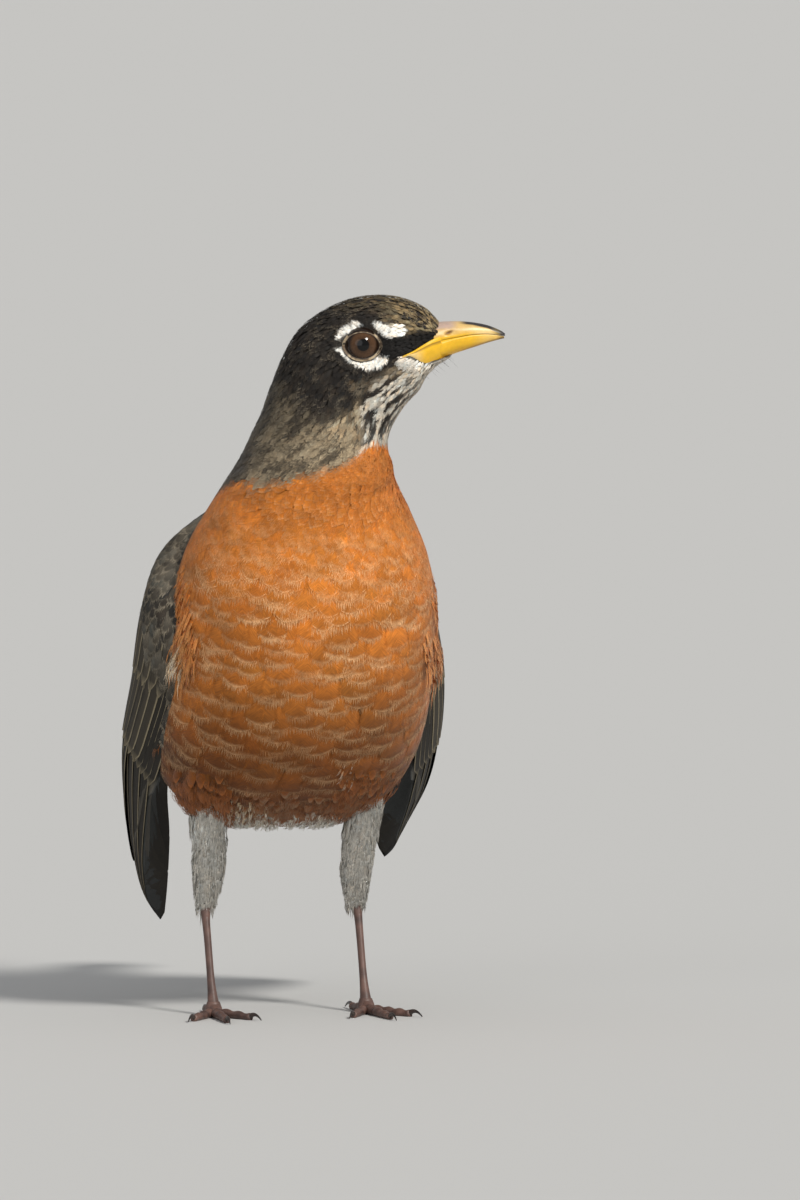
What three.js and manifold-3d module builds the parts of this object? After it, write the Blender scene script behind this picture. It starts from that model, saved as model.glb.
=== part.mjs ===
// American robin (Turdus migratorius), adult, life size, standing alert on both feet.
// The trunk is upright, the head is turned over the left shoulder, the wings droop beside the belly.
// Millimetres, +Z up. The bird stands on Z = 0 and faces about -Y, with its left side at +X.
// Every solid has the outer shape of the plumage, and neighbours keep a thin gap.
import * as THREE from "three";
import { mergeVertices } from "three/addons/utils/BufferGeometryUtils.js";
import Module from "manifold-3d";

const wasm = await Module();
wasm.setup();

// ---------------------------------------------------------------- driving dimensions
const GAP = 0.3; // between neighbouring solids
const BODY_YAW = 14; // degrees that the breast turns to +X, away from -Y
const HEAD_YAW = 90; // the bill points along +X
const BODY_X = 1; // where the trunk's midline crosses X at the level of the feet
const EYE = [16.8, -10, 184.2]; // middle of the head at the level of the pupils
const EYE_RADIUS = 5.2;
const EYE_APART = 8.9; // from the head's mid plane to the centre of each eyeball
const ORBIT = { out: 13.3, ahead: 5.0, above: 4.0, deep: 2.8 }; // the hollow between brow and cheek
const FOOT_OUT = { left: 19.7, right: 23 }; // from the trunk's mid plane to each foot
const FOOT_BACK = 9.5; // from the trunk's middle back to where the toes meet

// ---------------------------------------------------------------- frames and curves
const radians = THREE.MathUtils.degToRad;
const facing = (yaw) => new THREE.Vector3(Math.sin(radians(yaw)), -Math.cos(radians(yaw)), 0);
const leftOf = (yaw) => new THREE.Vector3(Math.cos(radians(yaw)), Math.sin(radians(yaw)), 0);
const UP = new THREE.Vector3(0, 0, 1);
const FORWARD = facing(BODY_YAW);
const LEFT = leftOf(BODY_YAW);

// A point of the trunk's own frame: distance behind the middle, distance to the bird's left, and height.
function inBody(back, left, height) {
  return new THREE.Vector3(BODY_X, 0, height).addScaledVector(FORWARD, -back).addScaledVector(LEFT, left);
}

// A point of the head's mid plane: distances ahead of the pupils and above them.
function inHead(ahead, above, left = 0) {
  const point = new THREE.Vector3(...EYE).addScaledVector(facing(HEAD_YAW), ahead);
  point.addScaledVector(leftOf(HEAD_YAW), left).z += above;
  return point;
}

// The smooth curve through rows of numbers, at t from 0 to the last row's index.
function through(rows, t) {
  const i = Math.min(Math.max(Math.floor(t), 0), rows.length - 2);
  const f = t - i;
  const row = (k) => rows[Math.min(Math.max(k, 0), rows.length - 1)];
  return rows[0].map((_, c) => {
    const [a, b, d, e] = [row(i - 1)[c], row(i)[c], row(i + 1)[c], row(i + 2)[c]];
    const m0 = (d - a) / 2;
    const m1 = (e - b) / 2;
    const f2 = f * f;
    const f3 = f2 * f;
    return (2 * f3 - 3 * f2 + 1) * b + (f3 - 2 * f2 + f) * m0 + (3 * f2 - 2 * f3) * d + (f3 - f2) * m1;
  });
}

const steps = (from, to, count) =>
  Array.from({ length: count + 1 }, (_, i) => from + ((to - from) * i) / count);

const power = (v, p) => Math.sign(v) * Math.abs(v) ** p;

// ---------------------------------------------------------------- solids
// A closed solid through rings of points, each ring with the same number of points.
function loft(rings) {
  const n = rings[0].length;
  const points = rings.flat();
  const triangles = [];
  for (let i = 0; i + 1 < rings.length; i++) {
    for (let j = 0; j < n; j++) {
      const a = i * n + j;
      const b = i * n + ((j + 1) % n);
      triangles.push(a, b, b + n, a, b + n, a + n);
    }
  }
  for (const [ring, first, turn] of [[rings[0], 0, -1], [rings.at(-1), (rings.length - 1) * n, 1]]) {
    const middle = ring.reduce((sum, p) => sum.add(p), new THREE.Vector3()).divideScalar(n);
    const centre = points.push(middle) - 1;
    for (let j = 0; j < n; j++) {
      const a = first + j;
      const b = first + ((j + 1) % n);
      triangles.push(centre, ...(turn > 0 ? [a, b] : [b, a]));
    }
  }
  return solidOf(points, triangles);
}

function solidOf(points, triangles) {
  let volume = 0;
  for (let i = 0; i < triangles.length; i += 3) {
    const [a, b, c] = triangles.slice(i, i + 3).map((k) => points[k]);
    volume += a.dot(new THREE.Vector3().crossVectors(b, c));
  }
  const facesOut = volume > 0 ? triangles : triangles.slice().reverse();
  const geometry = new THREE.BufferGeometry().setFromPoints(points);
  geometry.setIndex(facesOut);
  return fromGeometry(geometry);
}

function fromGeometry(source) {
  const geometry = source.clone();
  geometry.deleteAttribute("normal");
  geometry.deleteAttribute("uv");
  const merged = mergeVertices(geometry, 1e-3);
  return new wasm.Manifold(
    new wasm.Mesh({
      numProp: 3,
      vertProperties: new Float32Array(merged.getAttribute("position").array),
      triVerts: new Uint32Array(merged.index.array),
    }),
  );
}

function toGeometry(solid) {
  const mesh = solid.getMesh();
  const positions = new Float32Array((mesh.vertProperties.length / mesh.numProp) * 3);
  for (let i = 0; i < positions.length / 3; i++) {
    positions.set(mesh.vertProperties.subarray(i * mesh.numProp, i * mesh.numProp + 3), i * 3);
  }
  const geometry = new THREE.BufferGeometry();
  geometry.setAttribute("position", new THREE.BufferAttribute(positions, 3));
  geometry.setIndex(new THREE.BufferAttribute(new Uint32Array(mesh.triVerts), 1));
  geometry.computeVertexNormals();
  return geometry;
}

// The solid less its neighbours, keeping only its largest body.
function clearOf(solid, ...others) {
  const cut = others.reduce((left, other) => left.subtract(other), solid);
  return cut.decompose().reduce((best, body) => (body.volume() > best.volume() ? body : best));
}

// ---------------------------------------------------------------- head, neck and trunk
// One tube of sections runs from the bill's base to the tail coverts. A section is
// [x, y, z, yaw, pitch, up, down, wide, squareness]: its centre, the way it faces headward, its
// reach to the back and to the belly, its half width, and the exponent of its lower outline.
// The upper outline's exponent is the same all along.
const BACK_SQUARE = 2.1;

function headSection([crownAhead, crownAbove], [throatAhead, throatAbove], wide, square) {
  const crown = inHead(crownAhead, crownAbove);
  const throat = inHead(throatAhead, throatAbove);
  const centre = crown.clone().add(throat).divideScalar(2);
  const pitch = THREE.MathUtils.radToDeg(Math.atan2(throatAhead - crownAhead, crownAbove - throatAbove));
  const reach = crown.distanceTo(throat) / 2;
  return [...centre.toArray(), HEAD_YAW, pitch, reach, reach, wide, square];
}

function bodySection(back, height, pitch, up, down, wide, square = 2.15, left = 0) {
  return [...inBody(back, left, height).toArray(), BODY_YAW, pitch, up, down, wide, square];
}

const HEAD_SECTIONS = [
  headSection([21.4, 5.2], [22.6, -3.8], 4.6, 2.1),
  headSection([17.3, 9.4], [18.2, -8.2], 7.4, 2.1),
  headSection([9.9, 12.5], [15.4, -12.7], 11.2, 2.1),
  headSection([2.7, 13.0], [12.4, -15.9], 13.0, 2.15),
  headSection([-4.9, 11.5], [10.3, -18.6], 13.6, 2.2),
  headSection([-12.3, 7.8], [8.6, -21.4], 14.0, 2.2),
  headSection([-17.6, 3.2], [7.4, -24.1], 14.2, 2.2),
  headSection([-21.4, -3.2], [6.8, -27.3], 14.6, 2.15),
];

const NECK_SECTIONS = [
  [8.3, -10, 163.6, 80, 58, 18.8, 18.4, 15.2, 2.1],
  [7.0, -10, 158.2, 62, 67, 19.1, 19.4, 16.9, 2.1],
  [5.5, -9.8, 153, 42, 73, 20.4, 20.4, 19.3, 2.1],
  [4.1, -9.2, 146, 26, 72, 20.5, 20.5, 23.4, 2.1],
];

const TRUNK_SECTIONS = [
  bodySection(-8.5, 137, 66, 22.5, 23.5, 28),
  bodySection(-5, 125, 60, 26.5, 31, 33.4),
  bodySection(2, 111.5, 56, 28.5, 36.5, 36, 2.25),
  bodySection(10, 98, 52, 28.5, 37.5, 37, 2.5, -0.4),
  bodySection(20, 86, 46, 27, 35.5, 37, 2.85, -1.4),
  bodySection(31, 77, 39, 23.5, 31.2, 34, 2.95, -2.4),
  bodySection(43, 74, 33, 17.5, 24, 25.5, 2.6, -1.6),
  bodySection(55, 74.5, 29, 11.5, 16, 16, 2.3, -0.4),
  bodySection(68, 72.5, 25, 6.6, 8.5, 11.5, 2.2),
  bodySection(83, 67.8, 22, 3.2, 4.2, 10.2, 2.2),
];

const SECTIONS = [...HEAD_SECTIONS, ...NECK_SECTIONS, ...TRUNK_SECTIONS];
const HEAD_END = HEAD_SECTIONS.length - 0.5;
const NECK_END = HEAD_SECTIONS.length + NECK_SECTIONS.length - 0.6;
const TAIL_END = SECTIONS.length - 1;

function bodyRing(t, grow, count) {
  const [x, y, z, yaw, pitch, up, down, wide, square] = through(SECTIONS, t);
  const headward = facing(yaw).multiplyScalar(Math.cos(radians(pitch)));
  headward.z += Math.sin(radians(pitch));
  const left = leftOf(yaw);
  const dorsal = new THREE.Vector3().crossVectors(headward, left);
  return Array.from({ length: count }, (_, i) => {
    const angle = (2 * Math.PI * i) / count;
    const exponent = 2 / (Math.sin(angle) > 0 ? BACK_SQUARE : square);
    const across = power(Math.cos(angle), exponent) * (wide + grow);
    const along = power(Math.sin(angle), exponent) * ((Math.sin(angle) > 0 ? up : down) + grow);
    return new THREE.Vector3(x, y, z).addScaledVector(left, across).addScaledVector(dorsal, along);
  });
}

function bodyPart(from, to, rings, count, grow = 0) {
  return loft(steps(from, to, rings).map((t) => bodyRing(t, grow, count)));
}

// Half the gap at a section, as a share of the step between its two neighbours.
function halfGap(t) {
  const [near, far] = [SECTIONS[Math.floor(t)], SECTIONS[Math.floor(t) + 1]];
  return GAP / 2 / Math.hypot(far[0] - near[0], far[1] - near[1], far[2] - near[2]);
}

const headWhole = bodyPart(0, HEAD_END - halfGap(HEAD_END), 14, 26);
const neck = bodyPart(HEAD_END + halfGap(HEAD_END), NECK_END - halfGap(NECK_END), 7, 28);
const trunk = bodyPart(NECK_END + halfGap(NECK_END), TAIL_END, 22, 32);
const trunkRoom = bodyPart(NECK_END, TAIL_END + 0.05, 22, 32, GAP);
const neckRoom = bodyPart(HEAD_END, NECK_END, 7, 28, GAP);

// ---------------------------------------------------------------- bill
// Each row is [ahead, culmen, cutting edge, lower edge, half width], in the head's frame.
const BILL = [
  [16.5, 4.6, -0.8, -5.4, 6.1],
  [18.8, 5.4, 0.2, -4.9, 5.7],
  [21.6, 5.8, 1.0, -4.0, 5.0],
  [26.0, 5.9, 1.8, -2.5, 4.0],
  [30.0, 5.6, 2.4, -1.2, 3.0],
  [34.0, 4.8, 2.5, 0.1, 1.9],
  [37.2, 3.5, 2.1, 1.0, 1.0],
  [38.6, 2.6, 1.9, 1.3, 0.5],
];

function billHalf(side, grow, shorten) {
  const rings = steps(0, BILL.length - 1 - shorten, 12).map((t, step) => {
    const [ahead, culmen, edge, lower, wide] = through(BILL, t);
    const inset = step === 0 ? -grow : 0;
    const start = edge + side * (GAP / 2 - grow);
    const reach = (side > 0 ? culmen - edge : edge - lower) - GAP / 2 + 2 * grow;
    return steps(0, Math.PI, 7).map((angle) =>
      inHead(ahead + inset, start + side * reach * Math.sin(angle) ** 0.8, (wide + grow) * Math.cos(angle)),
    );
  });
  return loft(rings);
}

const billUpper = billHalf(1, 0, 0);
const billLower = billHalf(-1, 0, 0.25);
const billRoom = billHalf(1, GAP, 0).add(billHalf(-1, GAP, 0.25));

// ---------------------------------------------------------------- eyes
function eyeball(side, grow) {
  const ball = new THREE.SphereGeometry(EYE_RADIUS + grow, 14, 10);
  ball.rotateX(Math.PI / 2);
  ball.translate(...inHead(0, 0, side * EYE_APART).toArray());
  return fromGeometry(ball);
}

function orbit(side) {
  const hollow = new THREE.SphereGeometry(1, 12, 7);
  hollow.rotateX(Math.PI / 2);
  hollow.scale(ORBIT.ahead, ORBIT.deep, ORBIT.above);
  hollow.translate(...inHead(0, 0, side * ORBIT.out).toArray());
  return fromGeometry(hollow);
}

const sockets = [1, -1].map((side) => eyeball(side, GAP).add(orbit(side)));
const head = clearOf(headWhole, billRoom, ...sockets);

// ---------------------------------------------------------------- tail
// A closed fan of twelve feathers: a thin blade, arched across, that leaves the coverts.
// The places are in the trunk's frame, and the widths are half widths.
const TAIL = {
  root: [56, 0, 79.5],
  tip: [134, 8, 47],
  rootWide: 8,
  tipWide: 13,
  rootThick: 3.6,
  tipThick: 1.6,
  arch: 1.8,
  tipTaper: 0.82,
};

function tailSolid(grow) {
  const root = inBody(...TAIL.root);
  const tip = inBody(...TAIL.tip);
  const along = tip.clone().sub(root).normalize();
  const across = new THREE.Vector3().crossVectors(UP, along).normalize();
  const over = new THREE.Vector3().crossVectors(along, across);
  const rings = steps(0, 1, 8).map((t) => {
    const taper = t === 1 ? TAIL.tipTaper : 1;
    const wide = THREE.MathUtils.lerp(TAIL.rootWide, TAIL.tipWide, t) * taper + grow;
    const thick = THREE.MathUtils.lerp(TAIL.rootThick, TAIL.tipThick, t) / 2 + grow;
    const middle = root.clone().lerp(tip, t).addScaledVector(along, t === 1 ? grow : 0);
    const edge = (u, sign) =>
      middle
        .clone()
        .addScaledVector(across, u * wide)
        .addScaledVector(over, TAIL.arch * (0.5 - u * u) + sign * thick * (1 - 0.5 * u * u));
    return [...steps(-1, 1, 6).map((u) => edge(u, 1)), ...steps(1, -1, 6).map((u) => edge(u, -1))];
  });
  return loft(rings);
}

const tail = clearOf(tailSolid(0), trunkRoom);
const tailRoom = tailSolid(GAP);

// ---------------------------------------------------------------- wings
// A folded wing is a curved blade between its leading edge, low and in front, and its back edge
// along the rump. Rows run from the shoulder to the tip: the leading edge's and the back edge's
// [back, out, height], then how far the blade bulges outward, and its thickness in the middle
// and at the edges.
const WINGS = {
  right: [
    [6, 20, 134, 15, 10, 144.5, 7, 7, 6],
    [2, 29, 121, 23, 12, 134, 16, 8, 7],
    [-6, 34.5, 104, 32, 13, 118.5, 18.5, 9, 7],
    [1, 35.5, 85, 43, 14, 102, 18, 8, 5],
    [15, 36.7, 66, 58, 17, 84, 15.6, 5, 2],
    [32, 36.4, 49.5, 69, 22.3, 62.5, 9.6, 3.4, 1.5],
    [47, 34.6, 37, 72, 21.5, 45, 6.5, 2.6, 1.5],
    [60, 30.5, 27.5, 73, 21.8, 31, 3.8, 2, 1.4],
    [71, 24, 20.5, 73.5, 22.7, 21, 0.6, 1.4, 1.3],
  ],
  left: [
    [6, 20, 134, 15, 10, 144.5, 5, 7, 6],
    [2, 28, 121, 23, 12, 134, 12.5, 8, 7],
    [-5, 32, 103, 33, 14, 117.5, 14.5, 9, 7],
    [2, 33.2, 84, 44, 17, 101, 17.8, 8, 5],
    [15, 34.2, 66.5, 59, 20, 85, 18.4, 5, 2],
    [33, 36.6, 54, 71, 26, 69, 15.5, 3.4, 1.5],
    [50, 39.6, 45, 76, 34, 54, 8.3, 2.6, 1.5],
    [63, 41.8, 40, 78, 39, 45, 3.6, 2, 1.4],
    [77, 42.6, 36.2, 79, 42.2, 36.8, 0.6, 1.4, 1.3],
  ],
};

const WING_ACROSS = 7;

function wingRing(side, t, grow) {
  const row = through(WINGS[side], t);
  const [frontBack, frontOut, frontHigh, rearBack, rearOut, rearHigh, bulge, thick, edge] = row;
  const sign = side === "left" ? 1 : -1;
  const point = (b, depth) => {
    const out = THREE.MathUtils.lerp(frontOut, rearOut, b) + bulge * 4 * b * (1 - b);
    const slope = rearOut - frontOut + bulge * 4 * (1 - 2 * b);
    const run = Math.hypot(rearBack - frontBack, rearHigh - frontHigh) || 1;
    const tilt = Math.atan2(slope, run);
    const inward = depth * Math.cos(tilt);
    const rear = (depth * Math.sin(tilt)) / run;
    return inBody(
      THREE.MathUtils.lerp(frontBack, rearBack, b) + rear * (rearBack - frontBack),
      sign * (out - inward),
      THREE.MathUtils.lerp(frontHigh, rearHigh, b) + rear * (rearHigh - frontHigh),
    );
  };
  const depthAt = (b) => THREE.MathUtils.lerp(edge, thick, 4 * b * (1 - b));
  return [
    ...steps(0, 1, WING_ACROSS).map((b) => point(b, -grow)),
    ...steps(1, 0, WING_ACROSS).map((b) => point(b, depthAt(b) + grow)),
  ];
}

// The blade's parts from the shoulder to the tip, as [name, first row, last row, rings].
const WING_PARTS = [
  ["coverts", 0, 3.1, 7],
  ["secondaries", 3.12, 5.3, 5],
  ["primaries", 5.325, 8, 6],
];

// ---------------------------------------------------------------- legs
// A leg's sections lie flat, about a leaning axis. Each row is [how far back its middle is, how far
// outward of the foot, height, half its depth, half its width].
const PAD_TOP = 4.2; // height at which the shank rises from the foot
const ANKLE_HEIGHT = 31;

const THIGH = [
  [12, -0.5, 66, 10, 7.5],
  [14, 0.3, 56, 7.5, 4.8],
  [16.5, -0.3, 46, 5.6, 4.2],
  [18.5, -0.6, 38, 4.4, 3.8],
  [20, -0.4, ANKLE_HEIGHT, 2.8, 2.6],
];

const SHANK = [
  [20.2, -0.4, ANKLE_HEIGHT - GAP, 1.7, 1.6],
  [19.6, 0, 27.5, 1.6, 1.25],
  [16.5, 0, 20, 1.25, 1.0],
  [13, 0, 10, 1.25, 1.05],
  [10.5, 0, PAD_TOP, 1.7, 1.5],
];

function legSolid(side, table, count, rings, grow = 0) {
  const sign = side === "left" ? 1 : -1;
  return loft(
    steps(0, table.length - 1, rings).map((t) => {
      const [back, outward, height, deep, wide] = through(table, t);
      const left = sign * (FOOT_OUT[side] + outward);
      return Array.from({ length: count }, (_, i) => {
        const angle = (2 * Math.PI * i) / count;
        const behind = (deep + grow) * Math.cos(angle);
        const aside = (wide + grow) * Math.sin(angle);
        return inBody(back + behind, left + aside, height);
      });
    }),
  );
}

const thighSolid = (side, grow) => legSolid(side, THIGH, 12, 8, grow);
const shankSolid = (side) => legSolid(side, SHANK, 10, 6);

// Toes, as [name, degrees outward from straight ahead, length, radius at the root, claw length].
const TOES = [
  ["inner", -27, 15.5, 1.35, 4.6],
  ["middle", 4, 21.5, 1.5, 5.4],
  ["outer", 33, 16.5, 1.35, 4.6],
  ["hind", 184, 12.5, 1.45, 6.6],
];
const TOE_TIP_RADIUS = 0.95;
const SOLE_SHARE = 0.84; // how much of a toe's radius is above the floor at its axis
const TOE_INSET = 0.4; // from the meeting of the toes to the root of each
const KNUCKLE = 0.14; // how far the joints stand out
const CLAW_ROOT = 0.8; // radius of a claw where it leaves the toe
const CLAW_TIP = 0.27;
const CLAW_RISE = 0.9; // how high a claw arches over the line between its ends
const CLAW_SET = 0.25; // how far its root sits above the toe's axis

// The pad under the shank, as [height, radius], and how far its top leans back.
const PAD = [[0, 2.0], [0.9, 2.5], [2.4, 2.3], [PAD_TOP - GAP, 1.75]];
const PAD_LEAN = 0.6;

function toeFrame(side, degrees) {
  const sign = side === "left" ? 1 : -1;
  const heading = facing(BODY_YAW + sign * degrees);
  const root = inBody(FOOT_BACK, sign * FOOT_OUT[side], 0);
  return { heading, across: new THREE.Vector3().crossVectors(UP, heading), root };
}

function toeSolid(side, [, degrees, length, radius]) {
  const { heading, across, root } = toeFrame(side, degrees);
  const rings = steps(0, 1, 7).map((t, i) => {
    const knuckle = i % 3 === 1 ? KNUCKLE : 0;
    const r = THREE.MathUtils.lerp(radius, TOE_TIP_RADIUS, t) + knuckle;
    const centre = root.clone().addScaledVector(heading, THREE.MathUtils.lerp(TOE_INSET, length, t));
    return Array.from({ length: 8 }, (_, k) => {
      const angle = (2 * Math.PI * (k + 0.5)) / 8;
      const point = centre.clone().addScaledVector(across, r * Math.cos(angle));
      point.z = Math.max(0, r * (SOLE_SHARE + Math.sin(angle)));
      return point;
    });
  });
  return loft(rings);
}

function footSolid(side) {
  const { root } = toeFrame(side, 0);
  const pad = loft(
    PAD.map(([height, r]) =>
      Array.from({ length: 10 }, (_, k) => {
        const angle = (2 * Math.PI * k) / 10;
        return root
          .clone()
          .addScaledVector(FORWARD, r * Math.cos(angle) - (height / PAD_TOP) * PAD_LEAN)
          .addScaledVector(LEFT, r * Math.sin(angle))
          .add(new THREE.Vector3(0, 0, height));
      }),
    ),
  );
  return TOES.map((toe) => toeSolid(side, toe)).reduce((foot, toe) => foot.add(toe), pad);
}

function clawSolid(side, [, degrees, length, , claw]) {
  const { heading, across, root } = toeFrame(side, degrees);
  const start = new THREE.Vector3(0, 0, TOE_TIP_RADIUS * SOLE_SHARE).add(root);
  start.addScaledVector(heading, length + GAP);
  const rings = steps(0, 1, 5).map((t) => {
    const r = THREE.MathUtils.lerp(CLAW_ROOT, CLAW_TIP, t ** 0.8);
    const height = CLAW_RISE * 4 * t * (1 - t) - t * (start.z - CLAW_TIP) + CLAW_SET * (1 - t);
    const slope = Math.atan2(CLAW_RISE * 4 * (1 - 2 * t) - start.z, claw);
    const centre = start.clone().addScaledVector(heading, claw * t);
    centre.z += height;
    const lift = heading.clone().multiplyScalar(-Math.sin(slope)).addScaledVector(UP, Math.cos(slope));
    return Array.from({ length: 6 }, (_, k) => {
      const angle = (2 * Math.PI * k) / 6;
      const point = centre.clone().addScaledVector(across, r * Math.cos(angle));
      point.addScaledVector(lift, r * Math.sin(angle));
      point.z = Math.max(0, point.z);
      return point;
    });
  });
  return loft(rings);
}

// ---------------------------------------------------------------- materials and the named nodes
function finish(color, roughness) {
  return new THREE.MeshStandardMaterial({ color, roughness, metalness: 0 });
}

const MATERIALS = {
  hood: finish(0x2b2826, 0.85),
  nape: finish(0x57504a, 0.85),
  breast: finish(0xb0561f, 0.8),
  flight: finish(0x3a3632, 0.65),
  thigh: finish(0xa8a29c, 0.9),
  bill: finish(0xe2a12c, 0.35),
  eye: finish(0x2c1a12, 0.1),
  leg: finish(0x5a4238, 0.5),
  claw: finish(0x2a2320, 0.4),
};

const robin = new THREE.Group();

function addNode(name, solid, material) {
  const mesh = new THREE.Mesh(toGeometry(solid), MATERIALS[material]);
  mesh.name = name;
  robin.add(mesh);
}

addNode("head", head, "hood");
addNode("neck", neck, "nape");
addNode("trunk", trunk, "breast");
addNode("tail", tail, "flight");
addNode("bill_upper", billUpper, "bill");
addNode("bill_lower", billLower, "bill");
addNode("eye_left", eyeball(1, 0), "eye");
addNode("eye_right", eyeball(-1, 0), "eye");

for (const side of ["left", "right"]) {
  const thighRoom = thighSolid(side, GAP);
  for (const [part, from, to, rings] of WING_PARTS) {
    const blade = loft(steps(from, to, rings).map((t) => wingRing(side, t, 0)));
    const solid = clearOf(blade, trunkRoom, neckRoom, tailRoom, thighRoom);
    addNode(`wing_${side}_${part}`, solid, "flight");
  }
  addNode(`thigh_${side}`, clearOf(thighSolid(side, 0), trunkRoom), "thigh");
  addNode(`shank_${side}`, shankSolid(side), "leg");
  addNode(`foot_${side}`, footSolid(side), "leg");
  for (const toe of TOES) {
    addNode(`claw_${side}_${toe[0]}`, clawSolid(side, toe), "claw");
  }
}

// The origin is at the middle of the base of the bird's bounding box.
const bounds = new THREE.Box3().setFromObject(robin);
const middle = bounds.getCenter(new THREE.Vector3());
robin.position.set(-middle.x, -middle.y, 0);

export default robin;
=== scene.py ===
"""American robin, life size: skin, feathers, bill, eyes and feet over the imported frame.

The plumage is thin mesh: every feather is a curved vane that lies on the body's or the wing's
surface, with separate barbs round its tip. Shapes are worked out in millimetres in the bird's own
frame, the one its solids are designed in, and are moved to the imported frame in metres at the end.
"""

import math
from functools import partial

import bpy
import numpy as np
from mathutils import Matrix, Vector
from mathutils.kdtree import KDTree


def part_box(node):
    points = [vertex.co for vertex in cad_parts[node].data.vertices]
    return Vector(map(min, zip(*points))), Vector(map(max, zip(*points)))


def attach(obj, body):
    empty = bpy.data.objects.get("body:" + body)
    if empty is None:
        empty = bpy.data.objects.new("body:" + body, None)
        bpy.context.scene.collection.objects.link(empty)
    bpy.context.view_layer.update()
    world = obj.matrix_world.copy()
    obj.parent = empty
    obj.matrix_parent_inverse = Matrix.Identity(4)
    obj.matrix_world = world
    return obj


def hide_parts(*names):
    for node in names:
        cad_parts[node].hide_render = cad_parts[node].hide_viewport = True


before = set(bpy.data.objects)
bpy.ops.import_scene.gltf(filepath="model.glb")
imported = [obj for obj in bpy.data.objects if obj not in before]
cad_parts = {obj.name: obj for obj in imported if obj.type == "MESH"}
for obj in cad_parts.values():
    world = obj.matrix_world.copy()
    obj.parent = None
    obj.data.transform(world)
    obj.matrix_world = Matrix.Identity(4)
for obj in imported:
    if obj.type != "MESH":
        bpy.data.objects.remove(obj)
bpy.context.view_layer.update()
RNG = np.random.default_rng(77)

# ---------------------------------------------------------------- the bird's own frame, in mm
# How many degrees the body and the head are turned from the camera to the picture's right.
BODY_YAW, HEAD_YAW = 14, 90
BODY_X = 1
# The point midway between the eyes, the eyeball's radius, and its middle's distance from that point.
EYE = np.array([16.8, -10, 184.2])
EYE_RADIUS, EYE_APART = 5.2, 8.9
# The height of the bare leg's top, how far back it and the foot lie, and how far out each foot is.
TARSUS_TOP, ANKLE_BACK, FOOT_BACK = 30, 20, 9.5
FOOT_OUT = {"left": 19.7, "right": 23}
SIDES = {"left": 1, "right": -1}
UP = np.array([0.0, 0.0, 1.0])


def middle_of(node):
    low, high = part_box(node)
    return (np.array(low) + np.array(high)) / 2


ORIGIN = (middle_of("eye_left") + middle_of("eye_right")) / 2 - EYE / 1000


def to_world(points):
    return np.asarray(points, float) / 1000 + ORIGIN


def facing(yaw):
    return np.array([math.sin(math.radians(yaw)), -math.cos(math.radians(yaw)), 0])


def left_of(yaw):
    return np.array([math.cos(math.radians(yaw)), math.sin(math.radians(yaw)), 0])


FORWARD, LEFT = facing(BODY_YAW), left_of(BODY_YAW)
HEAD_FORWARD, HEAD_LEFT = facing(HEAD_YAW), left_of(HEAD_YAW)


def in_body(back, left, height):
    """Points from how far behind, how far to the bird's left and how high they are."""
    back, left, height = np.broadcast_arrays(*(np.asarray(v, float) for v in (back, left, height)))
    base = np.array([BODY_X, 0, 0])
    return base - back[..., None] * FORWARD + left[..., None] * LEFT + height[..., None] * UP


def in_head(ahead, above, left=0.0):
    """Points from how far ahead of the eyes, above them and to the head's left they are."""
    ahead, above, left = np.broadcast_arrays(*(np.asarray(v, float) for v in (ahead, above, left)))
    side = left[..., None] * HEAD_LEFT
    return EYE + ahead[..., None] * HEAD_FORWARD + side + above[..., None] * UP


def unit(v):
    return v / np.maximum(np.linalg.norm(v, axis=-1, keepdims=True), 1e-12)


def dot(a, b):
    return (a * b).sum(-1)


def smooth(low, high, x):
    t = np.clip((np.asarray(x, float) - low) / (high - low), 0, 1)
    return t * t * (3 - 2 * t)


def shares(count, low=0.0, high=1.0):
    """Even steps down a column."""
    return np.linspace(low, high, count)[:, None]


def turn(count):
    """Even angles once round, along a row."""
    return np.linspace(0, 2 * np.pi, count, endpoint=False)[None]


def on_line(line, x):
    """The height at x of a line through [x, height] points."""
    return np.interp(x, *zip(*line))


def mix(a, b, w):
    w = np.asarray(w)[..., None]
    return np.asarray(a) * (1 - w) + np.asarray(b) * w


def through(rows, t):
    """The smooth curve through rows of numbers, at each t from 0 to the last row's index."""
    rows = np.asarray(rows, float)
    t = np.asarray(t, float)
    i = np.clip(np.floor(t).astype(int), 0, len(rows) - 2)
    f = (t - i)[..., None]
    a, b, d, e = (rows[np.clip(i + k, 0, len(rows) - 1)] for k in (-1, 0, 1, 2))
    f2, f3 = f * f, f * f * f
    start, end = (d - a) / 2, (e - b) / 2
    return (2 * f3 - 3 * f2 + 1) * b + (f3 - 2 * f2 + f) * start + (3 * f2 - 2 * f3) * d + (f3 - f2) * end


# ---------------------------------------------------------------- the plumage's outer shape
# Sections of the tube that runs from the bill's base to the tail coverts, as in the solids:
# [x, y, z, yaw, pitch, up, down, wide, squareness of the lower outline].
BACK_SQUARE = 2.1


def head_section(crown, throat, wide, square):
    top, low = in_head(*crown), in_head(*throat)
    pitch = math.degrees(math.atan2(throat[0] - crown[0], crown[1] - throat[1]))
    reach = np.linalg.norm(top - low) / 2
    return [*((top + low) / 2), HEAD_YAW, pitch, reach, reach, wide, square]


def body_section(back, height, pitch, up, down, wide, square=2.15, left=0):
    return [*in_body(back, left, height), BODY_YAW, pitch, up, down, wide, square]


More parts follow.
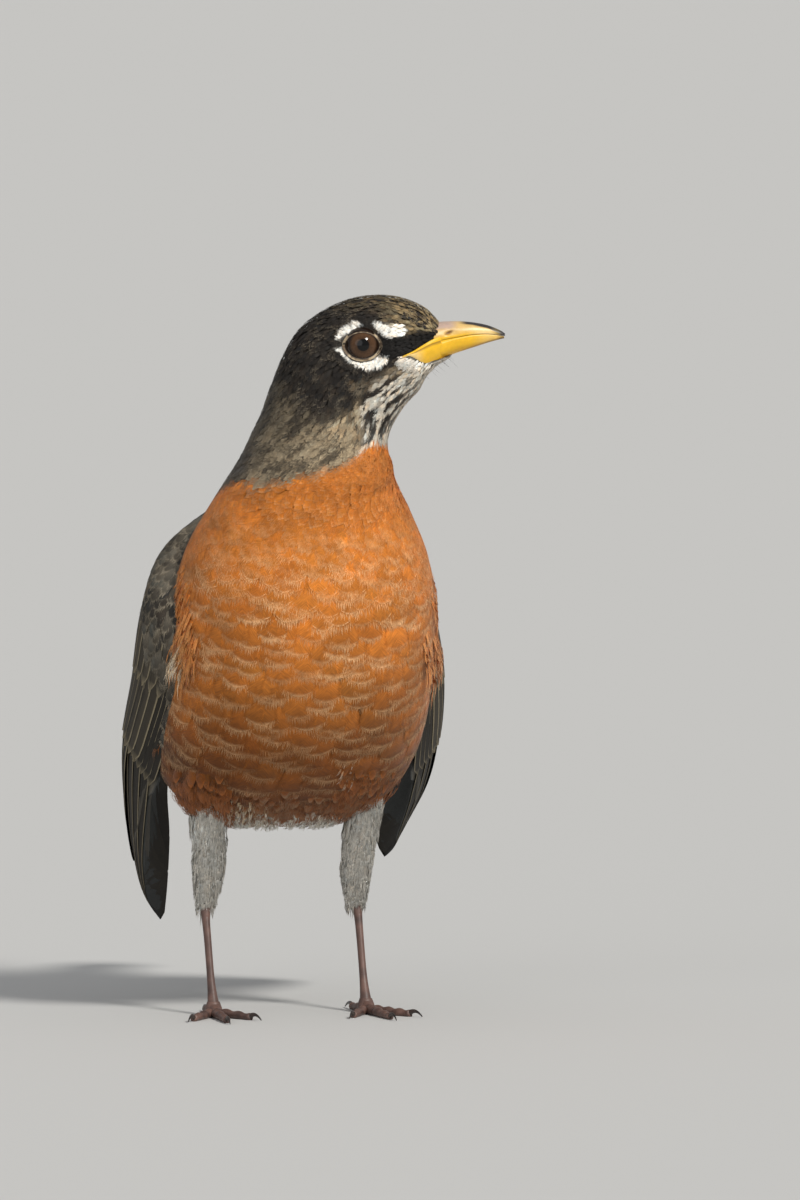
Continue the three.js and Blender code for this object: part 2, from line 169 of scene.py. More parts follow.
SECTIONS = [
    head_section([21.4, 5.2], [22.6, -3.8], 4.6, 2.1),
    head_section([17.3, 9.4], [18.2, -8.2], 7.4, 2.1),
    head_section([9.9, 12.5], [15.4, -12.7], 11.2, 2.1),
    head_section([2.7, 13.0], [12.4, -15.9], 13.0, 2.15),
    head_section([-4.9, 11.5], [10.3, -18.6], 13.6, 2.2),
    head_section([-12.3, 7.8], [8.6, -21.4], 14.0, 2.2),
    head_section([-17.6, 3.2], [7.4, -24.1], 14.2, 2.2),
    head_section([-21.4, -3.2], [6.8, -27.3], 14.6, 2.15),
    [8.3, -10, 163.6, 80, 58, 18.8, 18.4, 15.2, 2.1],
    [7.0, -10, 158.2, 62, 67, 19.1, 19.4, 16.9, 2.1],
    [5.5, -9.8, 153, 42, 73, 20.4, 20.4, 19.3, 2.1],
    [4.1, -9.2, 146, 26, 72, 20.5, 20.5, 23.4, 2.1],
    body_section(-8.5, 137, 66, 22.5, 23.5, 28),
    body_section(-5, 125, 60, 26.5, 31, 33.4),
    body_section(2, 111.5, 56, 28.5, 36.5, 36, 2.25),
    body_section(10, 98, 52, 28.5, 37.5, 37, 2.5, -0.4),
    body_section(20, 86, 46, 27, 35.5, 37, 2.85, -1.4),
    body_section(31, 77, 39, 23.5, 31.2, 34, 2.95, -2.4),
    body_section(43, 74, 33, 17.5, 24, 25.5, 2.6, -1.6),
    body_section(55, 74.5, 29, 11.5, 16, 16, 2.3, -0.4),
    body_section(68, 72.5, 25, 6.6, 8.5, 11.5, 2.2),
    body_section(83, 67.8, 22, 3.2, 4.2, 10.2, 2.2),
]
T_END = len(SECTIONS) - 1


class Surface:
    """A grid of points, rows along the lie of the feathers, columns across it.

    Places on it are (i, j) in rows and columns, with fractions. It answers where a place is, which
    way is out, and how far one row and one column go there.
    """

    def __init__(self, points, closed, depth):
        self.points, self.closed = points, closed
        self.rows, self.cols = points.shape[:2]
        self.along = np.gradient(points, axis=0)
        if closed:
            self.across = (np.roll(points, -1, 1) - np.roll(points, 1, 1)) / 2
        else:
            self.across = np.gradient(points, axis=1)
        self.out = unit(np.cross(self.along, self.across))
        self.depth = np.broadcast_to(depth, points.shape[:2]).astype(float)

    def sample(self, grid, i, j):
        i = np.clip(i, 0, self.rows - 1.001)
        j = np.mod(j, self.cols) if self.closed else np.clip(j, 0, self.cols - 1.001)
        i0, j0 = np.floor(i).astype(int), np.floor(j).astype(int)
        j0 = np.minimum(j0, self.cols - 1)
        j1 = (j0 + 1) % self.cols if self.closed else j0 + 1
        fi, fj = i - i0, j - j0
        if grid.ndim == 3:
            fi, fj = fi[..., None], fj[..., None]
        top = grid[i0, j0] * (1 - fj) + grid[i0, j1] * fj
        low = grid[i0 + 1, j0] * (1 - fj) + grid[i0 + 1, j1] * fj
        return top * (1 - fi) + low * fi

    def point(self, i, j):
        at = self.sample(self.points, i, j)
        over_i = i - np.clip(i, 0, self.rows - 1)
        at = at + self.sample(self.along, i, j) * over_i[..., None]
        if self.closed:
            return at
        over_j = j - np.clip(j, 0, self.cols - 1)
        return at + self.sample(self.across, i, j) * over_j[..., None]

    def normal(self, i, j):
        return unit(self.sample(self.out, i, j))

    def run(self, i, j):
        """The way the rows go on."""
        return unit(self.sample(self.along, i, j))

    def steps(self, i, j, way):
        """(di, dj) that moves one millimetre along each of the tangents in way, held back where the
        grid's lines run together."""
        a, b = self.sample(self.along, i, j), self.sample(self.across, i, j)
        aa, ab, bb = dot(a, a), dot(a, b), dot(b, b)
        size = np.maximum(aa * bb - ab * ab, 1e-9)
        wa, wb = dot(way, a), dot(way, b)
        step = np.stack([bb * wa - ab * wb, aa * wb - ab * wa], -1) / size[..., None]
        limit = 2 / np.sqrt(np.stack([aa, bb], -1) + 1e-9)
        return np.clip(step, -limit, limit)


def power(v, p):
    """v to the power p, with v's sign kept."""
    return np.sign(v) * np.abs(v) ** p


def even_ring(ring, count):
    """The closed rings of points, redrawn with even steps round each."""
    closed = np.concatenate([ring, ring[:, :1]], 1)
    steps = np.linalg.norm(np.diff(closed, axis=1), axis=2)
    length = np.concatenate([np.zeros((len(ring), 1)), np.cumsum(steps, 1)], 1)
    even = np.empty((len(ring), count, 3))
    for k in range(len(ring)):
        want = np.linspace(0, length[k, -1], count, endpoint=False)
        for axis in range(3):
            even[k, :, axis] = np.interp(want, length[k], closed[k, :, axis])
    return even


# The body's grid, and how many points each ring is drawn with before it is evened out.
BODY_ROWS, BODY_COLS, FINE_RING = 440, 600, 1440


def body_grid():
    """The plumage's outer surface. Column 0 is the belly, and half way round is the back."""
    t = np.linspace(0, T_END, BODY_ROWS)
    x, y, z, yaw, pitch, up, down, wide, square = through(SECTIONS, t).T
    yaw, pitch = np.radians(yaw), np.radians(pitch)
    ahead = np.stack([np.sin(yaw) * np.cos(pitch), -np.cos(yaw) * np.cos(pitch), np.sin(pitch)], -1)
    left = np.stack([np.cos(yaw), np.sin(yaw), np.zeros_like(yaw)], -1)
    dorsal = np.cross(ahead, left)
    angle = turn(FINE_RING) - np.pi / 2
    back = np.sin(angle) > 0
    exponent = 2 / np.where(back, BACK_SQUARE, square[:, None])
    across = power(np.cos(angle), exponent) * wide[:, None]
    along = power(np.sin(angle), exponent) * np.where(back, up[:, None], down[:, None])
    centre = np.stack([x, y, z], -1)[:, None]
    ring = centre + across[..., None] * left[:, None] + along[..., None] * dorsal[:, None]
    return even_ring(ring, BODY_COLS), t


BODY_POINTS, BODY_T = body_grid()
# How thick the coat is along the bird, as [row of the sections, mm].
COAT_DEPTH = [(0, 0.35), (1, 0.6), (3, 0.8), (7, 1.0), (11, 1.3), (14, 1.9), (17, 2.3), (19, 1.8), (21, 0.9)]
BODY_DEPTH = on_line(COAT_DEPTH, BODY_T)[:, None]
BODY = Surface(BODY_POINTS, True, BODY_DEPTH)


def body_i(t):
    """The body grid's row at row t of the sections."""
    return np.asarray(t) / T_END * (BODY.rows - 1)


# Wings, as in the solids: the front edge's and the back edge's [back, out, height] from the
# shoulder to the tip, how far the blade bulges outward, and its thickness in the middle and at
# the edges.
WINGS = {
    "right": [
        [6, 20, 134, 15, 10, 144.5, 7, 7, 6],
        [2, 29, 121, 23, 12, 134, 16, 8, 7],
        [-6, 34.5, 104, 32, 13, 118.5, 18.5, 9, 7],
        [1, 35.5, 85, 43, 14, 102, 18, 8, 5],
        [15, 36.7, 66, 58, 17, 84, 15.6, 5, 2],
        [32, 36.4, 49.5, 69, 22.3, 62.5, 9.6, 3.4, 1.5],
        [47, 34.6, 37, 72, 21.5, 45, 6.5, 2.6, 1.5],
        [60, 30.5, 27.5, 73, 21.8, 31, 3.8, 2, 1.4],
        [71, 24, 20.5, 73.5, 22.7, 21, 0.6, 1.4, 1.3],
    ],
    "left": [
        [6, 20, 134, 15, 10, 144.5, 5, 7, 6],
        [2, 28, 121, 23, 12, 134, 12.5, 8, 7],
        [-5, 32, 103, 33, 14, 117.5, 14.5, 9, 7],
        [2, 33.2, 84, 44, 17, 101, 17.8, 8, 5],
        [15, 34.2, 66.5, 59, 20, 85, 18.4, 5, 2],
        [33, 36.6, 54, 71, 26, 69, 15.5, 3.4, 1.5],
        [50, 39.6, 45, 76, 34, 54, 8.3, 2.6, 1.5],
        [63, 41.8, 40, 78, 39, 45, 3.6, 2, 1.4],
        [77, 42.6, 36.2, 79, 42.2, 36.8, 0.6, 1.4, 1.3],
    ],
}
WING_ROWS, WING_COLS, WING_END = 200, 90, 8


def wing_points(side, t, b):
    """The wing's outer surface at rows t and at shares b of the way from front to back edge."""
    t, b = np.broadcast_arrays(np.asarray(t, float), np.asarray(b, float))
    rows = np.moveaxis(through(WINGS[side], t), -1, 0)
    out = rows[1] * (1 - b) + rows[4] * b + rows[6] * 4 * b * (1 - b)
    return in_body(rows[0] * (1 - b) + rows[3] * b, SIDES[side] * out, rows[2] * (1 - b) + rows[5] * b)


def wing_depth(side, t, b):
    rows = np.moveaxis(through(WINGS[side], t), -1, 0)
    middle = 4 * b * (1 - b)
    return rows[8] * (1 - middle) + rows[7] * middle


def wing_grid(side, turned):
    """Rows and shares of a wing's grid, whose columns run back to front on the side named turned."""
    b = shares(WING_COLS).T
    return np.broadcast_arrays(shares(WING_ROWS, 0, WING_END), b[:, ::-1] if side == turned else b)


def wing_surface(side):
    t, b = wing_grid(side, "right")
    return Surface(wing_points(side, t, b), False, wing_depth(side, t, shares(WING_COLS).T))


WING = {side: wing_surface(side) for side in SIDES}


def grid_place(t, b):
    """Rows and columns of a wing's grid, from the row t of its table and the share b across it."""
    return np.asarray(t, float) / WING_END * (WING_ROWS - 1), np.asarray(b, float) * (WING_COLS - 1)


def wing_place(side, t, b):
    """A place on the wing's outer face, b of the way from its front edge to its back edge."""
    return grid_place(t, 1 - np.asarray(b, float) if side == "right" else b)


def under_place(side, t, b):
    """The same on its inner face, whose columns run the other way."""
    return grid_place(t, 1 - np.asarray(b, float) if side == "left" else b)


def under_surface(side):
    """The wing's inner face, as seen from the body."""
    t, b = wing_grid(side, "left")
    depth = wing_depth(side, t, b)
    out = WING[side].normal(*wing_place(side, t, b))
    return Surface(wing_points(side, t, b) - depth[..., None] * out, False, depth)


UNDER = {side: under_surface(side) for side in SIDES}


# ---------------------------------------------------------------- meshes
def add_mesh(name, points, faces, colours, slot, material, uv=None, vane=None, replaces=(), normals=None):
    """A piece from points in mm, faces as arrays of point numbers, and a colour for each point."""
    mesh = bpy.data.meshes.new(name)
    count = len(points)
    mesh.vertices.add(count)
    mesh.vertices.foreach_set("co", to_world(points).astype(np.float32).ravel())
    corners = np.concatenate([f.ravel() for f in faces])
    sizes = np.concatenate([np.full(len(f), f.shape[1]) for f in faces])
    starts = np.concatenate([[0], np.cumsum(sizes)[:-1]])
    mesh.loops.add(len(corners))
    mesh.loops.foreach_set("vertex_index", corners.astype(np.int32))
    mesh.polygons.add(len(sizes))
    mesh.polygons.foreach_set("loop_start", starts.astype(np.int32))
    mesh.polygons.foreach_set("use_smooth", np.ones(len(sizes), bool))
    paint = mesh.color_attributes.new("paint", "FLOAT_COLOR", "POINT")
    rgba = np.ones((count, 4), np.float32)
    rgba[:, :3] = colours
    paint.data.foreach_set("color", rgba.ravel())
    if vane is not None:
        marks = mesh.attributes.new("vane", "FLOAT_VECTOR", "POINT")
        marks.data.foreach_set("vector", np.asarray(vane, np.float32).ravel())
    if uv is not None:
        layer = mesh.uv_layers.new(name="OFBake")
        layer.data.foreach_set("uv", np.asarray(uv, np.float32)[corners].ravel())
    mesh.update(calc_edges=True)
    mesh.validate(clean_customdata=False)
    if normals is not None:
        mesh.normals_split_custom_set_from_vertices(unit(normals))
    piece = bpy.data.objects.new(name, mesh)
    bpy.context.scene.collection.objects.link(piece)
    mesh.materials.append(material)
    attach(piece, "root")
    if replaces:
        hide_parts(*replaces)


def grid_faces(rows, cols, closed=False):
    """Quads of a grid of points with that many rows and columns."""
    r = np.arange(rows - 1)[:, None]
    c = np.arange(cols if closed else cols - 1)[None]
    nxt = (c + 1) % cols
    quads = np.stack([r * cols + c, (r + 1) * cols + c, (r + 1) * cols + nxt, r * cols + nxt], -1)
    return quads.reshape(-1, 4)


def tube_mesh(rings):
    """A closed tube's points, and its faces, from rings of points, with a fan over each end."""
    rows, cols = rings.shape[:2]
    points = np.concatenate([rings.reshape(-1, 3), rings[:1].mean(1), rings[-1:].mean(1)])
    c = np.arange(cols)
    n = (c + 1) % cols
    first, last = rows * cols, rows * cols + 1
    start = np.stack([np.full(cols, first), c, n], -1)
    end = np.stack([np.full(cols, last), (rows - 1) * cols + n, (rows - 1) * cols + c], -1)
    return points, [grid_faces(rows, cols, closed=True), np.concatenate([start, end])]


# ---------------------------------------------------------------- feathers
class Flock:
    """Feathers gathered for one piece."""

    def __init__(self):
        self.points, self.colours, self.vanes, self.uvs, self.normals = [], [], [], [], []
        self.quads, self.tris, self.count = [], [], 0

    def add(self, points, colours, vanes, uvs, normals, quads, tris=None):
        """Adds n feathers at once: arrays of n x points, and faces of one feather."""
        n, per = points.shape[:2]
        for kept, new in ((self.points, points), (self.colours, colours), (self.vanes, vanes),
                          (self.uvs, uvs), (self.normals, normals)):
            kept.append(new.reshape(-1, new.shape[-1]))
        starts = self.count + np.arange(n)[:, None, None] * per
        self.quads.append((quads[None] + starts).reshape(-1, 4))
        if tris is not None:
            self.tris.append((tris[None] + starts).reshape(-1, 3))
        self.count += n * per

    def build(self, name, slot, material, replaces=()):
        faces = [np.concatenate(group) for group in (self.quads, self.tris) if group]
        points, colours, vanes, uvs, normals = (
            np.concatenate(kept) for kept in (self.points, self.colours, self.vanes, self.uvs, self.normals)
        )
        add_mesh(name, points, faces, colours, slot, material, uvs, vanes, replaces, normals)


# The size of each feather's patch on the OFBake map, and the range of the feathers' noise seeds.
UV_PATCH, SEEDS = 0.003, 50


def lay_axis(surface, i, j, way, length, rows):
    """Marches each feather's axis over the surface and keeps the frame at every row."""
    frames = []
    for _ in range(rows + 1):
        out = surface.normal(i, j)
        ahead = unit(way - dot(way, out)[..., None] * out)
        side = np.cross(out, ahead)
        go, cross = surface.steps(i, j, ahead), surface.steps(i, j, side)
        frames.append((i, j, go, cross))
        step = length / rows * go
        i, j, way = i + step[..., 0], j + step[..., 1], ahead
    return [np.stack(parts, 1) for parts in zip(*frames)]


def place(axis, length, along, across):
    """Surface places of feather points, along and across in mm, as n x points arrays."""
    i, j, go, cross = axis
    rows = i.shape[1] - 1
    k = np.clip(np.round(along / length * rows).astype(int), 0, rows)
    rest = along - k / rows * length
    pick = np.arange(len(length))[:, None]
    shift = rest[..., None] * go[pick, k] + across[..., None] * cross[pick, k]
    return i[pick, k] + shift[..., 0], j[pick, k] + shift[..., 1]


def vane_outline(x, c, blunt):
    """Where a vane's point at share x along and c across lies, as shares of length and width."""
    along = x * (1 - blunt * c * c * x)
    across = c * (0.30 + 0.70 * np.sqrt(np.clip(x, 0, 1))) * (1 - 0.30 * x**5)
    return along, across


# Rows of a vane's grid, as shares of its length, for large and for small feathers.
BROAD = (0, 0.3, 0.52, 0.7, 0.84, 0.93, 1)
SMALL = (0, 0.45, 0.8, 1)
# The middle share of a vane's barbs is on its tip, and the rest reach this far back on its sides.
TIP_SHARE, SIDE_REACH = 0.62, 0.55
# A barb springs from this far along and across the vane. Each of its corners is this far out along
# it, with this share of its width, on this side.
BARB_ALONG, BARB_ACROSS = 0.80, 0.84
BARB_CORNERS = ((0, 1, -1), (0, 1, 1), (0.55, 0.8, -1), (0.55, 0.8, 1), (1, 0, 0))
BARB_QUAD, BARB_TIP = np.array([[0, 2, 3, 1]]), np.array([[2, 4, 3]])


def barb_corners(length, half, barbs, blunt, reach, thin, splay):
    """Thin barbs round each vane's edge: along and across in mm, the shares of the vane there, and
    how far they stand off it, as n x points arrays."""
    shape = (len(length), barbs)
    q = np.clip(np.linspace(-1, 1, barbs) + RNG.uniform(-0.6, 0.6, shape) / barbs, -1, 1)
    c = np.sign(q) * np.minimum(1, np.abs(q) / TIP_SHARE)
    x = 1 - np.clip(np.abs(q) - TIP_SHARE, 0, 1) / (1 - TIP_SHARE) * SIDE_REACH
    edge_along, edge_across = vane_outline(x, c, blunt)
    root_along, root_across = vane_outline(x * BARB_ALONG, c * BARB_ACROSS, blunt)
    more = 1 + RNG.uniform(-0.5, 1.0, shape) * reach
    tip_along, tip_across = edge_along * more, edge_across * more + RNG.normal(0, 0.02, shape)
    wide = thin * RNG.uniform(0.7, 1.3, shape)
    run_along, run_across = (tip_along - root_along) * length, (tip_across - root_across) * half
    size = np.hypot(run_along, run_across) + 1e-9
    off_along, off_across = -run_across / size * wide / 2, run_along / size * wide / 2
    corners = []
    for share, width, side in BARB_CORNERS:
        corners.append((
            root_along * length + share * run_along + off_along * width * side,
            root_across * half + share * run_across + off_across * width * side,
            x * (BARB_ALONG + (1 - BARB_ALONG) * share) + 0.12 * share,
            c * (BARB_ACROSS + (1 - BARB_ACROSS) * share),
            0.05 + splay * share * RNG.uniform(0, 1, shape),
        ))
    return [np.stack(parts, -1).reshape(len(length), -1) for parts in zip(*corners)]


def feathers(flock, surface, i, j, way, length, half, paint, rows=BROAD, cols=6, barbs=24, blunt=0.22,
             lift=1.0, cup=0.08, reach=0.10, thin=0.2, splay=0.15, rise=4.5, bend=0.28):
    """Contour feathers with their roots at places (i, j), pointing along way, half wide each side.

    paint(x, c) gives each point's colour, n x points x 3, from its shares along and across. blunt
    draws the tip's corners back, lift is how much of the coat's depth the tip rises through, rise
    how soon, cup how far the sides sink, reach the barbs' share of the length, thin their width,
    splay how far they stand off, and bend how much the shading rounds.
    """
    n = len(i)
    if n == 0:
        return
    length, half, lift = (np.broadcast_to(v, (n,))[:, None] for v in (length, half, lift))
    axis = lay_axis(surface, i, j, way, length, 5 if len(rows) > 5 else 3)
    x = np.repeat(rows, cols + 1)
    c = np.tile(np.linspace(-1, 1, cols + 1), len(rows))
    share_along, share_across = vane_outline(x, c, blunt)
    flat = np.zeros((n, len(x)))
    inner_length, inner_half = length * (1 - reach), half * (1 - reach)
    vane = (inner_length * share_along, inner_half * share_across, x + flat, c + flat, flat)
    barb = barb_corners(length, half, barbs, blunt, reach, thin, splay)
    along, across, x, c, stand = (np.concatenate(group, 1) for group in zip(vane, barb))
    first = flat.shape[1] + len(BARB_CORNERS) * np.arange(barbs)[:, None]
    quads = np.concatenate([grid_faces(len(rows), cols + 1), first + BARB_QUAD])
    ii, jj = place(axis, length, along, across)
    level = 1 - (1 - np.clip(along / length, 0, 1)) ** rise
    height = surface.sample(surface.depth, ii, jj) * (lift * level - 1) - cup * c * c * x + stand
    out = surface.normal(ii, jj)
    points = surface.point(ii, jj) + height[..., None] * out
    side = np.cross(out, way[:, None])
    normals = out + bend * (c[..., None] * side + (x**5)[..., None] * way[:, None])
    vanes = np.stack([across, along, RNG.uniform(0, SEEDS, (n, 1)) + 0 * along], -1)
    u0 = (np.mod(j, surface.cols) / surface.cols)[:, None]
    v0 = (np.clip(i, 0, surface.rows - 1) / surface.rows)[:, None]
    u = u0 + UV_PATCH * (across / half / 2 + 0.5)
    v = v0 + UV_PATCH * np.clip(along / length, 0, 1.2)
    uvs = np.clip(np.stack([u, v], -1), 0, 1)
    flock.add(points, paint(x, c), vanes, uvs, normals, quads, first + BARB_TIP)


# Columns of a flight feather's grid, from the front edge over the shaft to the rear edge, and how
# strongly the webs' shading rounds.
QUILL_COLUMNS = np.array([-1, -0.9, -0.8, -0.45, -0.07, 0, 0.07, 0.55, 1])
SHAFT, SHAFT_HEIGHT, WEB_BEND = 0.1, 0.12, 0.35


def quill(flock, surface, root, tip, width, paint, height=0.0, web=1, outer=0.36, blunt=0.16, point=0.5,
          tilt=0.3, sink=1.5, rows=20, cup=0.25):
    """A long flight feather over a surface, from one place to another.

    web is 1 where the rear web lies towards higher columns. outer is the front web's share of the
    width, blunt the rounded tip's share of the length, point how much the tip narrows, tilt how far
    the front edge rides over its neighbour, and sink how deep the root lies.
    """
    s, c = shares(rows) ** 0.9, QUILL_COLUMNS
    i, j = (a + (b - a) * s[:, 0] for a, b in zip(root, tip))
    spine, out = surface.point(i, j), surface.normal(i, j)
    run = unit(np.gradient(spine, axis=0))
    run = unit(run - dot(run, out)[:, None] * out)
    side = np.cross(out, run)
    cross = surface.steps(i, j, side)
    length = np.linalg.norm(np.diff(spine, axis=0), axis=1).sum()
    tail = np.clip((s - (1 - blunt)) / blunt, 0, 1)
    swell = (0.35 + 0.65 * smooth(0, 0.3, s)) * np.maximum(np.sqrt(1 - tail**2), 0.05)
    swell = swell * (1 - point * 0.35 * s**3)
    off = swell * width * np.where(c < 0, outer, 1 - outer) * c * web
    room = np.where(cross[:, 1:] * off > 0, surface.cols - 1 - j[:, None], j[:, None])
    room = room / (np.abs(cross[:, 1:]) + 1e-9)
    off = np.sign(off) * np.minimum(np.abs(off), np.maximum(room, 0.05))
    ii = np.clip(i[:, None] + cross[:, :1] * off, 0, surface.rows - 1)
    jj = j[:, None] + cross[:, 1:] * off
    rise = height - sink * (1 - smooth(0, 0.25, s)) - tilt * c * swell - cup * c * c + SHAFT_HEIGHT * (c == 0)
    rise = np.maximum(rise, -0.85 * surface.sample(surface.depth, ii, jj) - 0.1 * (1 + c))
    over = surface.normal(ii, jj)
    points = surface.point(ii, jj) + rise[..., None] * over
    normals = over * (1 + 0.25 * (np.abs(c) < SHAFT)[:, None]) + (WEB_BEND * c * web)[:, None] * side[:, None]
    s, c = np.broadcast_arrays(s, c)
    vane = np.stack([off, s * length, np.full(s.shape, RNG.uniform(0, SEEDS))], -1)
    u0, v0 = (np.clip(a / b, 0, 1 - UV_PATCH) for a, b in ((root[1], surface.cols), (root[0], surface.rows)))
    uv = np.stack([u0 + UV_PATCH * (c / 2 + 0.5), v0 + UV_PATCH * s], -1)
    quads = grid_faces(rows, len(QUILL_COLUMNS))
    flock.add(*(v[None].reshape(1, -1, v.shape[-1]) for v in (points, paint(s, c), vane, uv, normals)),
              quads if web > 0 else quads[:, ::-1])


def quill_row(flock, surface, spot, count, roots, tips, width, paint, height, step, **look):
    """Long feathers side by side, in even steps from the first one's root and tip to the last one's.

    spot turns a row and a share across the wing into a place on the surface, paint holds what
    flight_paint is given, and each feather lies a step higher than the one before.
    """
    for k in range(count):
        share = k / (count - 1)
        root, tip = (spot(*(a + (b - a) * share for a, b in zip(*ends))) for ends in (roots, tips))
        quill(flock, surface, root, tip, width, flight_paint(**paint), height=height + step * k, **look)


def coat_paint(base, fringe, strength, centre, vary=0.07):
    """Colours a flock's vanes: a darker centre before the tip, then a pale fringe at the tip."""
    n = len(base)
    shade = np.exp(RNG.normal(0, vary, (n, 1)))[..., None]
    warm = RNG.normal(0, vary * 0.4, (n, 1))
    base, fringe = base[:, None] * shade, np.broadcast_to(fringe, base.shape)[:, None]
    strength, centre = (np.broadcast_to(v, (n,))[:, None] for v in (strength, centre))
    strength = np.clip(strength * RNG.uniform(0.35, 1.2, (n, 1)), 0, 1)

    def paint(x, c):
        deep = centre * smooth(0.45, 0.86, x) * (1 - 0.55 * c * c)
        colour = base * (1 - deep)[..., None] * np.stack([1 + warm, np.ones_like(warm), 1 - warm], -1)
        return mix(colour, fringe, smooth(0.92, 1.0, x) * strength)

    return paint


def flight_paint(base, edge, tip=0.0, edge_strength=0.8):
    """Colours a flight feather: a dark shaft, a pale front edge, and a pale rim at the tip."""
    shade = math.exp(RNG.normal(0, 0.12))

    def paint(s, c):
        colour = base * shade * (1 + 0.25 * smooth(0.4, 1, np.abs(c)))[..., None]
        line = smooth(-0.8, -0.9, c) * edge_strength * smooth(0.0, 0.2, s)
        colour = mix(colour * (1 - 0.45 * (c == 0))[..., None], edge, line)
        return mix(colour, edge, smooth(0.955, 1.0, s) * tip)

    return paint


# ---------------------------------------------------------------- colours
def srgb(r, g, b):
    v = np.array([r, g, b]) / 255
    return np.where(v <= 0.04045, v / 12.92, ((v + 0.055) / 1.055) ** 2.4)


# The noise's random values, and the large primes that pick one of them for each cell.
LATTICE = RNG.random(4096)
LATTICE_KEYS = (73856093, 19349663, 83492791)


def noise(points, size, seed=0):
    """Smooth noise from 0 to 1 with features about size mm across."""
    p = np.asarray(points, float) / size + seed * 17.3
    cell = np.floor(p).astype(np.int64)
    f = smooth(0, 1, p - cell)
    total = 0
    for corner in np.ndindex(2, 2, 2):
        x, y, z = ((cell[..., axis] + corner[axis]) * LATTICE_KEYS[axis] for axis in range(3))
        weight = np.where(corner, f, 1 - f).prod(-1)
        total = total + LATTICE[(x ^ y ^ z) & (len(LATTICE) - 1)] * weight
    return total


BLACK, SOOT, WHITE = srgb(34, 30, 27), srgb(66, 59, 50), srgb(248, 244, 234)
TAN, FLECK = srgb(156, 136, 100), srgb(126, 115, 98)
THROAT_WHITE, NAPE, NECK, BACK = srgb(228, 220, 204), srgb(92, 83, 68), srgb(156, 140, 114), srgb(104, 98, 86)
# RUST_LOW and RUST_FRINGE_LOW, the lower belly's colours, are darker partly in the belly's own feathers and
# partly as painted shade under the belly.
RUST_TOP, RUST_LOW = srgb(200, 118, 43), srgb(132, 73, 18)
RUST_FRINGE_TOP, RUST_FRINGE_LOW = srgb(250, 206, 154), srgb(228, 184, 136)
VENT, THIGH = srgb(206, 200, 186), srgb(250, 246, 236)
FLIGHT, FLIGHT_EDGE = srgb(37, 33, 27), srgb(150, 138, 112)
COVERT, LINING, UNDERWING = srgb(62, 56, 46), srgb(74, 70, 62), srgb(48, 50, 49)

# The face's marks in the head's side view, as [ahead of the eye, above it].
BROW = [(2.6, 6.2), (4.6, 6.3), (6.4, 5.5), (8.9, 5.9), (11.8, 4.2), (11.2, 2.5), (7.8, 1.8), (5.6, 2.5),
        (4.0, 4.2)]
UPPER_ARC = [(-7.3, 1.7), (-5.6, 4.6), (-2.2, 6.5), (0.3, 5.9), (-1.6, 4.3), (-4.4, 3.2), (-6.2, 1.4)]
LOWER_ARC = [(-7.4, -0.8), (-5.9, -0.7), (-4.9, -2.2), (-2.6, -3.7), (1.2, -4.2), (4.0, -3.3), (6.4, -2.7),
             (7.2, -4.5), (5.0, -6.1), (1.6, -6.8), (-1.9, -5.8), (-4.6, -3.5)]
LORES = [(4.4, 3.4), (5.6, 2.2), (11.4, 2.2), (17.6, 3.6), (21.0, 3.6), (21.0, 1.6), (14.5, -0.9),
         (10.8, -3.0), (6.4, -4.0), (4.8, -2.4)]
MALAR = [(9.6, -3.2), (13.0, -3.4), (16.5, -4.0), (18.5, -4.6), (17.6, -7.0), (12.6, -7.2), (9.4, -5.4)]
GAPE = [(11.2, -3.2), (13.6, -1.4), (16.6, 0.3), (19.6, 2.0), (23.0, 5.0), (24.0, -5.0), (19.0, -5.0),
        (15.8, -4.0)]
# The hood's lower edge in the same view, and the rust's upper edge in the front view, as [x, z].
HOOD_LINE = [(-30, -6), (-26, -9), (-20, -16.5), (-15, -20), (-11, -21.5), (-6.5, -20.5), (-1, -15),
             (3, -10.5), (8, -6.5), (12, -4), (30, 0)]
RUST_LINE = [(-30, 139), (-23.8, 141.5), (-18.1, 145.5), (-5.7, 147.3), (3.2, 149.5), (10, 151), (14.9, 154),
             (18.5, 157), (22.4, 157), (24.5, 153), (30, 150)]
# How far round from its middle the throat's streaked patch goes, as [row of the sections, share].
THROAT_SPAN = [(0, 0.34), (2, 0.33), (4, 0.38), (6, 0.38), (8, 0.27), (10, 0.17), (11.2, 0.12), (12, 0.0)]
# How strong the fringes and the dark centres of the rust feathers are, as [height, share].
RUST_FRINGES = [(55, 0.4), (75, 0.65), (105, 0.95), (122, 0.85), (132, 0.4), (150, 0.2)]
RUST_CENTRES = [(60, 0.42), (90, 0.40), (115, 0.24), (135, 0.05)]


def inside(ahead, above, outline):
    """How far inside a closed outline in the head's side view each place is, in mm."""
    outline = np.array(outline, float)
    p = np.stack(np.broadcast_arrays(ahead, above), -1)[..., None, :]
    a, b = outline, np.roll(outline, -1, 0)
    edge = b - a
    t = np.clip(dot(p - a, edge) / dot(edge, edge), 0, 1)
    near = np.linalg.norm(p - (a + t[..., None] * edge), axis=-1).min(-1)
    crosses = (a[:, 1] > p[..., 1]) != (b[:, 1] > p[..., 1])
    rise = np.where(np.abs(edge[:, 1]) < 1e-9, 1e-9, edge[:, 1])
    where = a[:, 0] + (p[..., 1] - a[:, 1]) * edge[:, 0] / rise
    odd = (crosses & (p[..., 0] < where)).sum(-1) % 2 == 1
    return np.where(odd, near, -near)


def head_place(points):
    """How far ahead of the eyes, above them and aside of the middle each point is."""
    rel = points - EYE
    return dot(rel, HEAD_FORWARD), rel[..., 2], np.abs(dot(rel, HEAD_LEFT))


